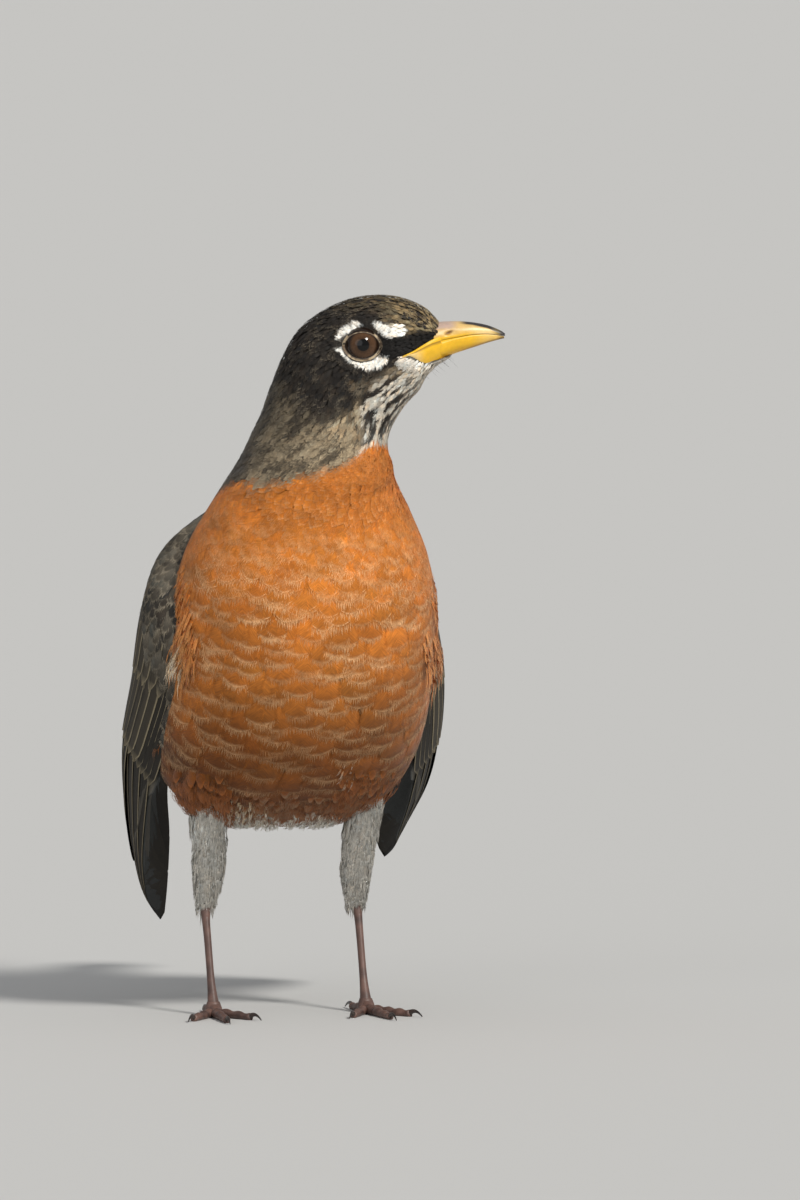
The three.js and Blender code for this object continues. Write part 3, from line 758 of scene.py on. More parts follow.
class Plumage:
    """The plumage at places on the body: its colour, its fringes' colour, and how strong they and
    the dark centres are. Each marking is laid over those before it.

    t is the row of the sections. e runs from 0 on the belly to 1 on the back.
    """

    def __init__(self, points, t, e):
        self.points, self.t, self.e = points, t, e
        self.x, self.z = points[..., 0], points[..., 2]
        self.ahead, self.above, self.aside = head_place(points)
        self.speck, self.spot, self.patch = noise(points, 0.9), noise(points, 2.2, 1), noise(points, 7, 2)
        self.on_head = smooth(10.2, 9.2, t)
        self.lay_back()
        self.lay_rust()
        self.lay_vent()
        self.lay_hood()
        self.lay_throat()
        self.lay_face()
        self.strength = np.clip(self.strength, 0, 1)

    def streaks(self, round_body, along, side, seed):
        """Noise drawn out along the body."""
        return noise(np.stack([self.e * round_body, along, side + 0 * self.e], -1), 1.0, seed)

    def lay(self, weight, base=None, fringe=None, strength=None, centre=None):
        """Lays a marking over the others, as strongly as its weight."""
        if base is not None:
            self.base = mix(self.base, base, weight)
        if fringe is not None:
            self.fringe = mix(self.fringe, fringe, weight)
        if strength is not None:
            self.strength = self.strength * (1 - weight) + weight * strength
        if centre is not None:
            self.centre = self.centre * (1 - weight) + weight * centre

    def lay_back(self):
        """The neck's streaked brown and the back's grey."""
        hair = self.streaks(84, self.t * 2.3 + 3, 5, 8)
        neck = mix(NECK * 1.2, NAPE, smooth(0.42, 0.74, self.e + 0.3 * (self.patch - 0.5)))
        neck = mix(neck, BLACK * 1.7, 0.8 * smooth(0.42, 0.62, 0.65 * hair + 0.35 * self.speck))
        back = mix(BACK * 0.86, BACK * 1.12, self.patch)
        self.base = mix(neck, back, smooth(10.6, 12.2, self.t))
        self.fringe = self.base * 1.7
        self.strength, self.centre = 0.45, 0.35

    def lay_rust(self):
        """The breast's and the belly's rust, blotched, with pale fringes, and darker below partly in its own
        feathers and partly as painted shade.
        """
        t, x, z, patch = self.t, self.x, self.z, self.patch
        blotch = noise(self.points * [1, 1, 0.6], 16, 3)
        rust = mix(RUST_TOP, RUST_LOW, smooth(104, 56, z + 14 * (blotch - 0.5)))
        rust = mix(rust, RUST_TOP * 1.22, 0.6 * smooth(0.5, 0.9, blotch) * smooth(85, 110, z))
        rust = rust * (0.70 + 0.40 * patch + 0.2 * self.spot)[..., None]
        # painted shade: the rust is darker low on the bird's right, the camera's left, away from the key
        # light
        rust = mix(rust, rust * 0.6, smooth(-6, -24, x) * smooth(88, 66, z))
        line = on_line(RUST_LINE, x) + 3.5 * (patch - 0.5) + 2.0 * (self.speck - 0.5)
        side_line = on_line([(15.5, 0.66), (17, 0.46)], t)
        red = smooth(line + 0.9, line - 0.9, z) * smooth(6.9, 7.6, t)
        self.red = red * smooth(0.04, -0.04, self.e - side_line + 0.05 * (patch - 0.5))
        pale = mix(mix(rust * 1.5, RUST_FRINGE_TOP, 0.85), RUST_FRINGE_LOW, smooth(104, 66, z))
        self.lay(self.red, rust, pale, on_line(RUST_FRINGES, z), on_line(RUST_CENTRES, z))

    def lay_vent(self):
        """The pale vent and the grey rump."""
        vent = smooth(17.0, 17.9, self.t + 0.8 * (self.spot - 0.5))
        vent = vent * smooth(0.52, 0.34, self.e + 0.12 * (self.patch - 0.5))
        self.lay(vent, mix(VENT, BACK, 0.45 * smooth(0.55, 0.9, self.spot)), WHITE)
        self.lay(smooth(17.5, 19, self.t) * smooth(0.5, 0.66, self.e), BACK * 1.05)

    def lay_hood(self):
        """The black hood, soft at its lower edge behind, with brown over the ear and forehead."""
        ahead, above, speck, spot = self.ahead, self.above, self.speck, self.spot
        soft = on_line([(-24, 5.0), (-14, 3.0), (-4, 1.4), (4, 2.2)], ahead)
        level = above - on_line(HOOD_LINE, ahead) + 3.0 * (self.patch - 0.5) + 1.5 * (speck - 0.5)
        sooty = on_line([(-22, 0.7), (0, 0.6), (10, 1)], ahead)
        black = mix(BLACK, SOOT, 0.7 * smooth(0.35, 0.8, speck) * sooty)
        ear = smooth(-8.5, -13, above) * smooth(-9, 2, ahead)
        ear = ear + 0.7 * smooth(-4, -9, above) * smooth(2, 8, ahead)
        brown = 0.75 * smooth(0.45, 0.75, 0.5 * spot + 0.5 * speck)
        black = mix(black, NECK * 0.9, np.clip(ear, 0, 1) * brown)
        fringe = mix(black * 1.8, FLECK, 0.8 * smooth(0.35, 0.75, spot))
        hood = smooth(-soft, soft, level) * self.on_head
        self.lay(hood, black, fringe, 0.3 + 0.9 * smooth(0.4, 0.75, spot))
        brow = smooth(1.5, 12, ahead + 2 * (spot - 0.5)) * smooth(2.4, 4.8, above)
        brow = np.maximum(brow, 0.35 * smooth(-14, -2, ahead) * smooth(8, 11, above)) * self.on_head
        fleck = smooth(0.30, 0.66, noise(self.points, 0.45, 9) + 0.25 * (spot - 0.5))
        self.lay(0.9 * brow, mix(TAN, BLACK * 1.5, fleck))
        self.lay(brow, fringe=TAN * 1.15)

    def lay_throat(self):
        """The white throat and its black streaks."""
        t, e = self.t, self.e
        throat = smooth(0.03, -0.03, e - on_line(THROAT_SPAN, t) + 0.06 * (self.patch - 0.5))
        throat = throat * (1 - self.red) * smooth(11.6, 10.4, t)
        streak = self.streaks(60, t * 1.05 + 7, np.sign(self.points[..., 1] - EYE[1]) * 3 + 9, 4)
        dark = smooth(0.47, 0.60, streak)
        dark = dark * on_line([(0, 0.1), (1.2, 0.35), (3, 0.95), (6, 1), (9, 0.8), (10.5, 0.35)], t)
        dark = dark * on_line([(0, 0.55), (0.08, 0.8), (0.16, 1)], e)
        bib = mix(mix(THROAT_WHITE, NECK, smooth(0.24, 0.42, e) * 0.55), BLACK * 1.3, dark)
        self.lay(throat, bib, mix(bib * 1.25, bib, dark))

    def lay_face(self):
        """The black lores, and the white marks round the eye and by the bill."""
        view, wobble = (self.ahead, self.above), 0.5 * (self.speck - 0.5)
        lores = smooth(-0.35, 0.35, inside(*view, LORES) + wobble) * self.on_head * smooth(6, 4.5, self.t)
        self.lay(lores, BLACK * 0.42, BLACK * 0.6)
        white = np.max([inside(*view, mark) for mark in (BROW, UPPER_ARC, LOWER_ARC, MALAR)], 0)
        white = smooth(-0.25, 0.35, white + wobble) * self.on_head * (self.aside > 3)
        self.lay(white, WHITE, WHITE)
        self.centre = self.centre * (1 - white) * (1 - 0.7 * self.on_head)


def spread_of(surface, i, j):
    """The row of the sections, and how far round from the belly's middle, at places on the body."""
    return i / (surface.rows - 1) * T_END, 1 - np.abs(2 * np.mod(j / surface.cols, 1) - 1)


def marked_paint(points, i, j, vary):
    """Paint for feathers that show the body's markings at the given points and places."""
    plumage = Plumage(points, *spread_of(BODY, i, j))
    return coat_paint(plumage.base, plumage.fringe, plumage.strength, plumage.centre, vary)


# ---------------------------------------------------------------- the eyes' hollows, and finding places
# Half the eye's opening and half the hollow round it, along and up, and how deep the hollows of the
# eyes and the lores are. The face ends at this row of the sections.
EYE_OPEN, HOLLOW = (4.35, 3.5), (6.6, 5.6)
HOLLOW_DEPTH, LORE_DEPTH, ROW_BEHIND_FACE = 1.5, 0.7, 7.5


def dent_head():
    """Draws the head's outer surface in round the eyes, so that they sit in shallow hollows."""
    ahead, above, _ = head_place(BODY.points)
    on_face = BODY_T[:, None] < ROW_BEHIND_FACE
    hollow = HOLLOW_DEPTH * smooth(1.35, 0.55, np.hypot(ahead / HOLLOW[0], above / HOLLOW[1])) * on_face
    lore = LORE_DEPTH * smooth(1.1, 0.2, np.hypot((ahead - 13) / 8, (above - 1.0) / 3.0)) * on_face
    side = np.sign(dot(BODY.points - EYE, HEAD_LEFT))
    points = BODY.points - ((hollow + lore) * side)[..., None] * HEAD_LEFT
    return Surface(points, True, BODY_DEPTH)


BODY = dent_head()


class Finder:
    """Finds places on the body from two numbers that each of its grid's points has."""

    def __init__(self, first, last, keep, u, v):
        rows = np.arange(int(body_i(first)), int(body_i(last)), 2)
        rows, cols = np.meshgrid(rows, np.arange(0, BODY.cols, 2), indexing="ij")
        keep, u, v = (grid[rows, cols] for grid in (keep, u, v))
        self.rows, self.cols = rows[keep], cols[keep]
        self.points, self.normals = BODY.points[self.rows, self.cols], BODY.out[self.rows, self.cols]
        self.tree = KDTree(len(self.rows))
        for k, (a, b) in enumerate(zip(u[keep], v[keep])):
            self.tree.insert((a, b, 0), k)
        self.tree.balance()

    def blend(self, u, v, values):
        """The values at the grid's nearest points to (u, v), weighed by nearness."""
        result = []
        for a, b in zip(np.ravel(u), np.ravel(v)):
            near = self.tree.find_n((a, b, 0), 5)
            weight = np.array([1 / (f[2] ** 2 + 0.01) for f in near])
            result.append((values[[f[1] for f in near]].T * weight).sum(-1) / weight.sum())
        return np.array(result)

    def grid(self, u, v):
        return self.blend(u, v, self.rows), self.blend(u, v, self.cols)


# The cheeks' finders take places in the head's side view, and the front's takes places across and
# up as the camera sees them, from a little above.
HEAD_AHEAD, HEAD_ABOVE, _ = head_place(BODY.points)
HEAD_SIDE = dot(BODY.points - EYE, HEAD_LEFT)
CHEEK = {side: Finder(0, 8.5, HEAD_SIDE * sign > 0, HEAD_AHEAD, HEAD_ABOVE) for side, sign in SIDES.items()}
CAMERA_TILT = math.radians(4)
FRONT = Finder(8, 19, dot(BODY.out, FORWARD) > -0.05, BODY.points[..., 0],
               BODY.points[..., 2] * math.cos(CAMERA_TILT) + BODY.points[..., 1] * math.sin(CAMERA_TILT))


def on_cheek(side, ahead, above, lift=0.0):
    """Points on the side of the head, from their places in the head's side view."""
    ahead, above, lift = np.broadcast_arrays(*(np.asarray(v, float) for v in (ahead, above, lift)))
    finder = CHEEK[side]
    aside = finder.blend(ahead, above, head_place(finder.points)[2]).reshape(ahead.shape)
    normal = finder.blend(ahead, above, finder.normals).reshape(ahead.shape + (3,))
    return in_head(ahead, above, SIDES[side] * aside) + lift[..., None] * normal


# ---------------------------------------------------------------- materials
def new_material(name):
    """A material's node tree and its shader."""
    material = bpy.data.materials.new(name)
    material.use_nodes = True
    tree = material.node_tree
    tree.nodes.clear()
    out = tree.nodes.new("ShaderNodeOutputMaterial")
    shader = tree.nodes.new("ShaderNodeBsdfPrincipled")
    tree.links.new(shader.outputs[0], out.inputs["Surface"])
    return material, tree, shader


def add_node(tree, kind, links=(), **values):
    """A node with its inputs linked or set, by their names or numbers."""
    node = tree.nodes.new(f"ShaderNode{kind}")
    for slot, socket in dict(links).items():
        tree.links.new(socket, node.inputs[slot])
    for slot, value in values.items():
        node.inputs[slot.replace("_", " ")].default_value = value
    return node


def math_node(tree, operation, a, b=None):
    node = tree.nodes.new("ShaderNodeMath")
    node.operation = operation
    for slot, value in enumerate((a, b)):
        if isinstance(value, float):
            node.inputs[slot].default_value = value
        elif value is not None:
            tree.links.new(value, node.inputs[slot])
    return node.outputs[0]


def noise_node(tree, vector, scale, detail, rough):
    node = add_node(tree, "TexNoise", {"Vector": vector}, Scale=scale, Detail=detail, Roughness=rough)
    return node.outputs["Fac"]


def span(tree, value, middle, swing):
    """A noise's usual range, drawn out to the two swings below and above the middle."""
    below, above = swing
    values = {"From Min": 0.3, "From Max": 0.7, "To Min": middle - below, "To Max": middle + above}
    return add_node(tree, "MapRange", {"Value": value}, **values).outputs["Result"]


def attribute(tree, name):
    node = tree.nodes.new("ShaderNodeAttribute")
    node.attribute_name = name
    return node.outputs["Color" if name == "paint" else "Vector"]


def paint_base(tree, shader, tone):
    """The piece's own colours, made lighter and darker by tone."""
    node = tree.nodes.new("ShaderNodeVectorMath")
    node.operation = "SCALE"
    tree.links.new(attribute(tree, "paint"), node.inputs[0])
    tree.links.new(tone, node.inputs["Scale"])
    tree.links.new(node.outputs[0], shader.inputs["Base Color"])


def bump(tree, shader, height, distance):
    node = add_node(tree, "Bump", {"Height": height}, Strength=0.6, Distance=distance)
    tree.links.new(node.outputs["Normal"], shader.inputs["Normal"])


def object_noise(tree, scale, detail):
    place = tree.nodes.new("ShaderNodeTexCoord").outputs["Object"]
    return noise_node(tree, place, scale, detail, 0.6)


def feather_material(name, rough, fine, slope, contrast, relief, sheen=0.0, gloss=0.3):
    """Barbs run out and back from each feather's shaft: fine ones a mm, slope their lean."""
    material, tree, shader = new_material(name)
    parts = add_node(tree, "SeparateXYZ", {0: attribute(tree, "vane")})
    across, along, seed = parts.outputs
    wide = math_node(tree, "ABSOLUTE", across)
    barb = math_node(tree, "SUBTRACT", along, math_node(tree, "MULTIPLY", wide, slope))
    reach = math_node(tree, "ADD", math_node(tree, "MULTIPLY", wide, 0.22), seed)
    place = add_node(tree, "CombineXYZ", {
        0: math_node(tree, "MULTIPLY", barb, fine), 1: reach, 2: math_node(tree, "MULTIPLY", across, 0.4),
    })
    lines = noise_node(tree, place.outputs[0], 1.0, 3.0, 0.65)
    tone = span(tree, lines, 1, (contrast, contrast))
    drift = span(tree, object_noise(tree, 420.0, 3.0), 1, (contrast * 0.45, contrast * 0.45))
    paint_base(tree, shader, math_node(tree, "MULTIPLY", tone, drift))
    tree.links.new(span(tree, lines, rough, (0.08, 0.08)), shader.inputs["Roughness"])
    shader.inputs["Specular IOR Level"].default_value = gloss
    if sheen:
        shader.inputs["Sheen Weight"].default_value = sheen
        shader.inputs["Sheen Roughness"].default_value = 0.5
    bump(tree, shader, lines, relief)
    return material


def solid_material(name, rough, scale, contrast, relief=0.0, detail=4.0, gloss=0.5, sub=0.0):
    """Grained skin or horn, or a smooth wet surface where it has no relief."""
    material, tree, shader = new_material(name)
    grain = object_noise(tree, scale, detail)
    paint_base(tree, shader, span(tree, grain, 1, (contrast, contrast)))
    shader.inputs["Specular IOR Level"].default_value = gloss
    if sub:
        shader.inputs["Subsurface Weight"].default_value = sub
        shader.inputs["Subsurface Radius"].default_value = (1, 0.5, 0.2)
        shader.inputs["Subsurface Scale"].default_value = 0.0008
    if relief:
        tree.links.new(span(tree, grain, rough, (0.06, 0.08)), shader.inputs["Roughness"])
        bump(tree, shader, grain, relief)
    else:
        shader.inputs["Roughness"].default_value = rough
    return material


# Feathers: [name, roughness, barbs a mm, their lean, contrast, relief in m].
DOWN = feather_material("down", 0.82, 2.8, 0.9, 0.27, 0.00014, sheen=0.1, gloss=0.2)
FACE = feather_material("face", 0.72, 3.0, 0.8, 0.22, 0.0001, gloss=0.25)
VANE = feather_material("vane", 0.62, 2.6, 0.75, 0.2, 0.0001, gloss=0.28)
# Solids: [name, roughness, grain's scale, contrast, relief in m].
SKIN = solid_material("skin", 0.85, 900, 0.25, 0.00015)
LEG = solid_material("leg", 0.5, 1500, 0.14, 0.00006)
HORN = solid_material("horn", 0.36, 700, 0.06, 0.00003, sub=0.08)
CLAW = solid_material("claw", 0.35, 900, 0.18, 0.00003)
LID = solid_material("lid", 0.6, 2500, 0.16, 0.00006)
EYE_GLOSS = solid_material("eye", 0.05, 2600, 0.25, detail=3.0, gloss=0.32)


# ---------------------------------------------------------------- the skin
def thigh_rows(side):
    """A thigh from the body to the ankle, as rows for leg_rings."""
    s, foot = SIDES[side], SIDES[side] * FOOT_OUT[side]
    return [
        [12, foot - 0.5 * s, 66, 10, 7.5],
        [14, foot + 0.3 * s, 56, 7.5, 4.8],
        [16.5, foot - 0.3 * s, 46, 5.6, 4.2],
        [18.5, foot - 0.6 * s, 38, 4.4, 3.8],
        [ANKLE_BACK, foot - 0.4 * s, TARSUS_TOP + 1, 2.8, 2.6],
    ]


def leg_rings(rows, count, cols, grow=0.0):
    """Rings of points round a leg, through rows of [back, left, height, half depth, half width]."""
    t, angle = np.linspace(0, len(rows) - 1, count), turn(cols)
    back, left, height, deep, wide = (v[:, None] for v in through(rows, t).T)
    return in_body(back + (deep + grow) * np.cos(angle), left + (wide + grow) * np.sin(angle), height)


def plain_object(name, points, faces):
    mesh = bpy.data.meshes.new(name)
    mesh.from_pydata(points, [], faces)
    piece = bpy.data.objects.new(name, mesh)
    bpy.context.scene.collection.objects.link(piece)
    return piece


# How deep the skin lies, as a share of the coat's depth, and how much thinner than its solid a thigh is.
SKIN_DEPTH, THIGH_THINNER = 1.04, 0.9
# The pit round each eye: half its size, along and up, and its depth.
PIT, PIT_DEPTH = (4.9, 4.1), 3.4
# The size of the joined skin's faces, in m.
VOXEL = 0.00085
# The skin takes its markings from every fourth row and every sixth column of the body's grid.
PLACE_ROWS, PLACE_COLS = 4, 6


def flesh():
    """The body's tube, with pits for the eyes, joined to the thighs: its points and its quads."""
    inner = BODY.points - BODY.depth[..., None] * BODY.out * SKIN_DEPTH
    near = np.hypot(HEAD_AHEAD / PIT[0], HEAD_ABOVE / PIT[1])
    pit = PIT_DEPTH * smooth(1.12, 0.9, near) * (BODY_T[:, None] < ROW_BEHIND_FACE)
    inner -= (pit * np.sign(HEAD_SIDE))[..., None] * HEAD_LEFT
    legs = [leg_rings(thigh_rows(side), 40, 48, -THIGH_THINNER)[:, ::-1] for side in SIDES]
    pieces = []
    for points, (quads, tris) in map(tube_mesh, [inner[::2, ::3], *legs]):
        pieces.append(plain_object("flesh", to_world(points).tolist(), quads.tolist() + tris.tolist()))
    body, *thighs = pieces
    for thigh in thighs:
        join = body.modifiers.new("join", "BOOLEAN")
        join.operation, join.solver, join.object = "UNION", "EXACT", thigh
    remesh = body.modifiers.new("even", "REMESH")
    remesh.mode, remesh.voxel_size = "VOXEL", VOXEL
    even = body.modifiers.new("smooth", "SMOOTH")
    even.factor, even.iterations = 0.5, 3
    made = bpy.data.meshes.new_from_object(body.evaluated_get(bpy.context.evaluated_depsgraph_get()))
    points, corners = np.empty(len(made.vertices) * 3, np.float32), np.empty(len(made.loops), np.int32)
    made.vertices.foreach_get("co", points)
    made.loops.foreach_get("vertex_index", corners)
    for piece in pieces:
        bpy.data.objects.remove(piece)
    return (points.reshape(-1, 3).astype(float) - ORIGIN) * 1000, corners.reshape(-1, 4)


def build_skin():
    points, quads = flesh()
    grid = BODY.points[::PLACE_ROWS, ::PLACE_COLS]
    tree = KDTree(grid.shape[0] * grid.shape[1])
    for k, point in enumerate(grid.reshape(-1, 3)):
        tree.insert(point, k)
    tree.balance()
    row, col = np.unravel_index([tree.find(point)[1] for point in points], grid.shape[:2])
    i, j = row * PLACE_ROWS, col * PLACE_COLS
    colours = Plumage(points, *spread_of(BODY, i, j)).base
    low = on_line([(52, 1), (62, 0)], points[:, 2]) * (np.abs(dot(points, LEFT)) > 12)
    add_mesh("skin", points, [quads], mix(colours * 0.8, THIGH * 0.8, low), "breast", SKIN,
             np.stack([j / BODY.cols, i / BODY.rows], -1),
             replaces=("head", "neck", "trunk", "thigh_left", "thigh_right"))


# ---------------------------------------------------------------- the coat
# How the coat changes along the bird: [row of the sections, row step, column step, feather length,
# half width].
COAT = [
    (0, 0.9, 0.9, 2.3, 0.55),
    (2, 1.05, 1.0, 3.0, 0.68),
    (5, 1.15, 1.1, 3.4, 0.78),
    (7, 1.3, 1.2, 4.4, 0.85),
    (9, 1.5, 1.4, 5.2, 1.05),
    (11, 1.7, 2.2, 8.0, 2.3),
    (12, 2.3, 3.6, 10, 3.9),
    (12.7, 3.2, 5.4, 11, 5.0),
    (13.6, 3.8, 6.2, 12.5, 5.6),
    (15, 4.7, 6.8, 14, 6.3),
    (16.5, 4.7, 6.2, 14.5, 6.3),
    (18, 4.2, 5.0, 14, 5.3),
    (19.5, 4.0, 4.2, 13, 3.6),
    (21, 3.2, 3.4, 12, 3.0),
]
FINE = {"rows": SMALL, "cols": 2}
ALL_ROUND, IN_FRONT, BEHIND = (0, 1.01), (0, 0.66), (0.66, 1.01)
# The coat's pieces: [name, slot, material, rows of the sections, shares round from the belly, look].
ZONES = [
    ("face", "hood", FACE, (0, 4.2), ALL_ROUND,
     dict(FINE, barbs=6, reach=0.16, thin=0.10, splay=0.10, cup=0.05)),
    ("hood", "hood", FACE, (4.2, 7.6), ALL_ROUND,
     dict(FINE, barbs=7, reach=0.16, thin=0.12, splay=0.12, cup=0.06)),
    ("neck", "nape", DOWN, (7.6, 11), ALL_ROUND,
     dict(FINE, barbs=12, reach=0.26, thin=0.11, splay=0.2, cup=0.06)),
    ("breast_upper", "breast", DOWN, (11, 12.6), IN_FRONT,
     dict(cols=4, barbs=36, reach=0.14, thin=0.15, cup=0.02, splay=0.04, bend=0.12, blunt=0.15)),
    ("breast", "breast", DOWN, (12.6, 15.2), IN_FRONT,
     dict(cols=6, barbs=64, reach=0.10, thin=0.14, cup=0.05, splay=0.08, bend=0.16, blunt=0.13)),
    ("belly", "breast", DOWN, (15.2, 18.5), IN_FRONT,
     dict(cols=6, barbs=60, reach=0.11, thin=0.14, cup=0.08, splay=0.14, bend=0.2, blunt=0.14)),
    ("back", "nape", DOWN, (11, 18.5), BEHIND, dict(cols=4, barbs=26, reach=0.08, thin=0.2, cup=0.25)),
    ("rump", "nape", DOWN, (18.5, T_END + 1), ALL_ROUND,
     dict(cols=4, barbs=26, reach=0.1, thin=0.2, cup=0.2)),
]


def coat_sizes(t):
    """The row step, column step, feather length and half width at row t of the sections."""
    rows, *columns = np.array(COAT).T
    return [np.interp(t, rows, column) for column in columns]


def scatter_roots():
    """Rows of feather roots from the bill to the tail, as rows and columns of the body's grid."""
    step_along = np.linalg.norm(BODY.along, axis=2)
    mean_step = (step_along.max(1) + step_along.mean(1)) / 2
    i, roots, odd = 0.5, [], 0
    while i < BODY.rows - 2:
        row, col, _, _ = coat_sizes(i / (BODY.rows - 1) * T_END)
        step = row / mean_step[int(i)]
        ring = np.linalg.norm(BODY.across[int(i)], axis=1).sum()
        count = max(6, int(round(ring / col)))
        j = (np.arange(count) + 0.5 * odd + RNG.normal(0, 0.18, count)) * BODY.cols / count
        rows = i + RNG.normal(0, 0.27, count) * step
        roots.append(np.stack([np.clip(rows, 0, BODY.rows - 2), j]))
        i += step
        odd = 1 - odd
    return np.concatenate(roots, 1)


def lie_of(i, j):
    """The way the feathers point: to the tail, bending round the eye."""
    way = BODY.run(i, j)
    points = BODY.point(i, j)
    ahead, above, aside = head_place(points)
    away = points - in_head(0.5, 0)
    away = unit(away - dot(away, HEAD_LEFT)[..., None] * HEAD_LEFT)
    away = away - dot(away, way)[..., None] * way
    near = smooth(11, 5, np.hypot(ahead - 1, above * 1.15)) * (aside > 4) * (ahead > -3)
    return unit(way + 0.9 * near[..., None] * away)


# A feather's colour is the body's this share of its length from its root.
SEEN = 0.8


def build_coat():
    i, j = scatter_roots()
    t, e = spread_of(BODY, i, j)
    points = BODY.point(i, j)
    _, _, length, half = coat_sizes(t)
    way = lie_of(i, j)
    way = unit(way + RNG.normal(0, 0.10, (len(t), 1)) * np.cross(BODY.normal(i, j), way))
    ahead, above, aside = head_place(points)
    on_face = (t < ROW_BEHIND_FACE) & (aside > 2)
    near = np.hypot(ahead / EYE_OPEN[0], above / EYE_OPEN[1])
    shrink = np.where(on_face, on_line([(1, 0.5), (1.5, 0.62), (2.6, 1.0)], near), 1)
    length = length * shrink * RNG.uniform(0.88, 1.12, len(t))
    half = half * np.sqrt(shrink) * RNG.uniform(0.9, 1.1, len(t))
    # no feather whose root, middle or tip would lie over an eye or a gape
    clear = np.ones(len(t), bool)
    for share in (0, 0.425, 0.85):
        ahead, above, _ = head_place(points + way * (length * share)[:, None])
        over_eye = np.hypot(ahead / (EYE_OPEN[0] + 0.25), above / (EYE_OPEN[1] + 0.2)) < 1
        clear &= ~(on_face & (over_eye | (inside(ahead, above, GAPE) > 0.15)))
    seen = points + way * (length * SEEN)[:, None]
    step = np.linalg.norm(BODY.sample(BODY.along, i, j), axis=-1)
    seen_i = np.minimum(i + length * SEEN / np.maximum(step, 0.05), BODY.rows - 1)
    for name, slot, material, rows, round_body, look in ZONES:
        pick = clear & (t >= rows[0]) & (t < rows[1]) & (e >= round_body[0]) & (e < round_body[1])
        flock = Flock()
        paint = marked_paint(seen[pick], seen_i[pick], j[pick], 0.16 if slot == "hood" else 0.07)
        feathers(flock, BODY, i[pick], j[pick], way[pick], length[pick], half[pick], paint, **look)
        flock.build("coat_" + name, slot, material)


# Rings of feathers round each eye's lids: [how far out from the lids, count].
RIM_RINGS = [(0.55, 64), (1.15, 70), (1.8, 76), (2.5, 80)]


def build_eye_rims():
    """The smallest feathers, which carry the white arcs round the eyes."""
    for side, cheek in CHEEK.items():
        rings = []
        for ring, (grow, count) in enumerate(RIM_RINGS):
            angle = (np.arange(count) + 0.5 * (ring % 2) + RNG.normal(0, 0.15, count)) * 2 * np.pi / count
            rings.append(np.stack([(4.5 + grow) * np.cos(angle), (3.6 + grow) * np.sin(angle)]))
        ahead, above = np.concatenate(rings, 1)
        keep = inside(ahead, above, GAPE) < -0.3
        ahead, above = ahead[keep], above[keep]
        i, j = cheek.grid(ahead, above)
        radial = unit(ahead[:, None] * HEAD_FORWARD + above[:, None] * UP * 1.2)
        way = unit(radial + 0.55 * BODY.run(i, j))
        length = RNG.uniform(1.5, 2.1, len(i))
        seen = in_head(ahead, above) + way * length[:, None] * 0.6
        seen[:, 1] = BODY.point(i, j)[:, 1]
        flock = Flock()
        feathers(flock, BODY, i, j, way, length, 0.42, marked_paint(seen, i, j, 0.1), **FINE, barbs=5,
                 reach=0.16, thin=0.09, splay=0.06, cup=0.03, lift=1.05)
        flock.build(f"coat_eye_rim_{side}", "hood", FACE)


TUFT = dict(FINE, barbs=18, reach=0.3, thin=0.13, splay=0.7, rise=1.4, bend=0.5)
FLANK, FLANK_TIP, PALE_TIP = srgb(224, 148, 80), srgb(222, 160, 100), srgb(236, 226, 206)
WISP, COVER, SKIRT = {"cols": 4, "bend": 0.25}, {"cols": 4, "bend": 0.2, "rise": 3}, {"cols": 4, "splay": 0.3}
# Loose feathers on the front: over the wings' edges, along the belly's lower edge, and white ones
# below. Each is [x range, range up in the front view, count, length, half width, colour, fringe,
# how far they stand off, look].
TUFTS = {
    ("coat_flanks", "breast"): [
        ((-32, -28), (106, 116), 40, 15, 1.3, FLANK, FLANK_TIP, 2.2, WISP),
        ((-32.6, -31.0), (102, 107), 18, 12, 0.8, srgb(238, 206, 162), PALE_TIP, 3.2, {}),
        ((-32.5, -29), (100, 130), 40, 12, 2.2, RUST_TOP * 1.1, FLANK_TIP, 0.5, COVER),
        ((33.5, 36.8), (104, 112), 30, 14, 1.3, FLANK, FLANK_TIP, 2.0, WISP),
        ((34, 37), (100, 126), 30, 12, 2.2, RUST_TOP * 1.1, FLANK_TIP, 0.4, COVER),
    ],
    ("coat_skirt", "breast"): [
        # The skirt's rust is the lower belly's, darkened partly as painted shade; the group on the camera's
        # left is darker still as painted shade.
        ((-36, -20), (54, 70), 120, 12, 2.4, RUST_LOW * 0.9, RUST_LOW * 1.8, 2.4, SKIRT),
        ((-24, 22), (54, 64), 150, 10, 2.2, RUST_LOW, srgb(150, 112, 76), 1.5, SKIRT),
        ((12, 30), (57, 72), 70, 11, 2.3, RUST_LOW, RUST_LOW * 1.9, 1.6, SKIRT),
    ],
    ("coat_down", "thigh"): [
        ((-21, 15), (51, 57), 120, 8, 1.0, VENT, WHITE, 2.2, {"barbs": 14}),
        ((-20, -8), (55, 61), 26, 9, 0.5, srgb(200, 170, 130), WHITE, 2.0, {"barbs": 8}),
        ((12.5, 17), (66, 73), 9, 7, 0.3, srgb(200, 150, 100), WHITE, 1.0, {"barbs": 4, "lean": -0.6}),
    ],
}


def tuft(flock, x_range, high_range, count, length, half, base, fringe, stand, lean=0.0, **look):
    """Loose feathers on the front, between the given places across and up in the front view."""
    x, high = RNG.uniform(*x_range, count), RNG.uniform(*high_range, count)
    i, j = FRONT.grid(x, high)
    way, out = BODY.run(i, j), BODY.normal(i, j)
    down = unit(-UP - dot(-UP, out)[:, None] * out)
    way = unit(way + 1.5 * down + (lean + RNG.normal(0, 0.22, count))[:, None] * np.cross(out, way))
    size = length * RNG.uniform(0.75, 1.2, count)
    paint = coat_paint(base * RNG.uniform(0.85, 1.15, (count, 1)), fringe, 1, 0, 0.08)
    lift = 1 + stand * RNG.uniform(0.5, 1.1, count) / BODY.sample(BODY.depth, i, j)
    feathers(flock, BODY, i, j, way, size, half, paint, lift=lift, **{**TUFT, **look})


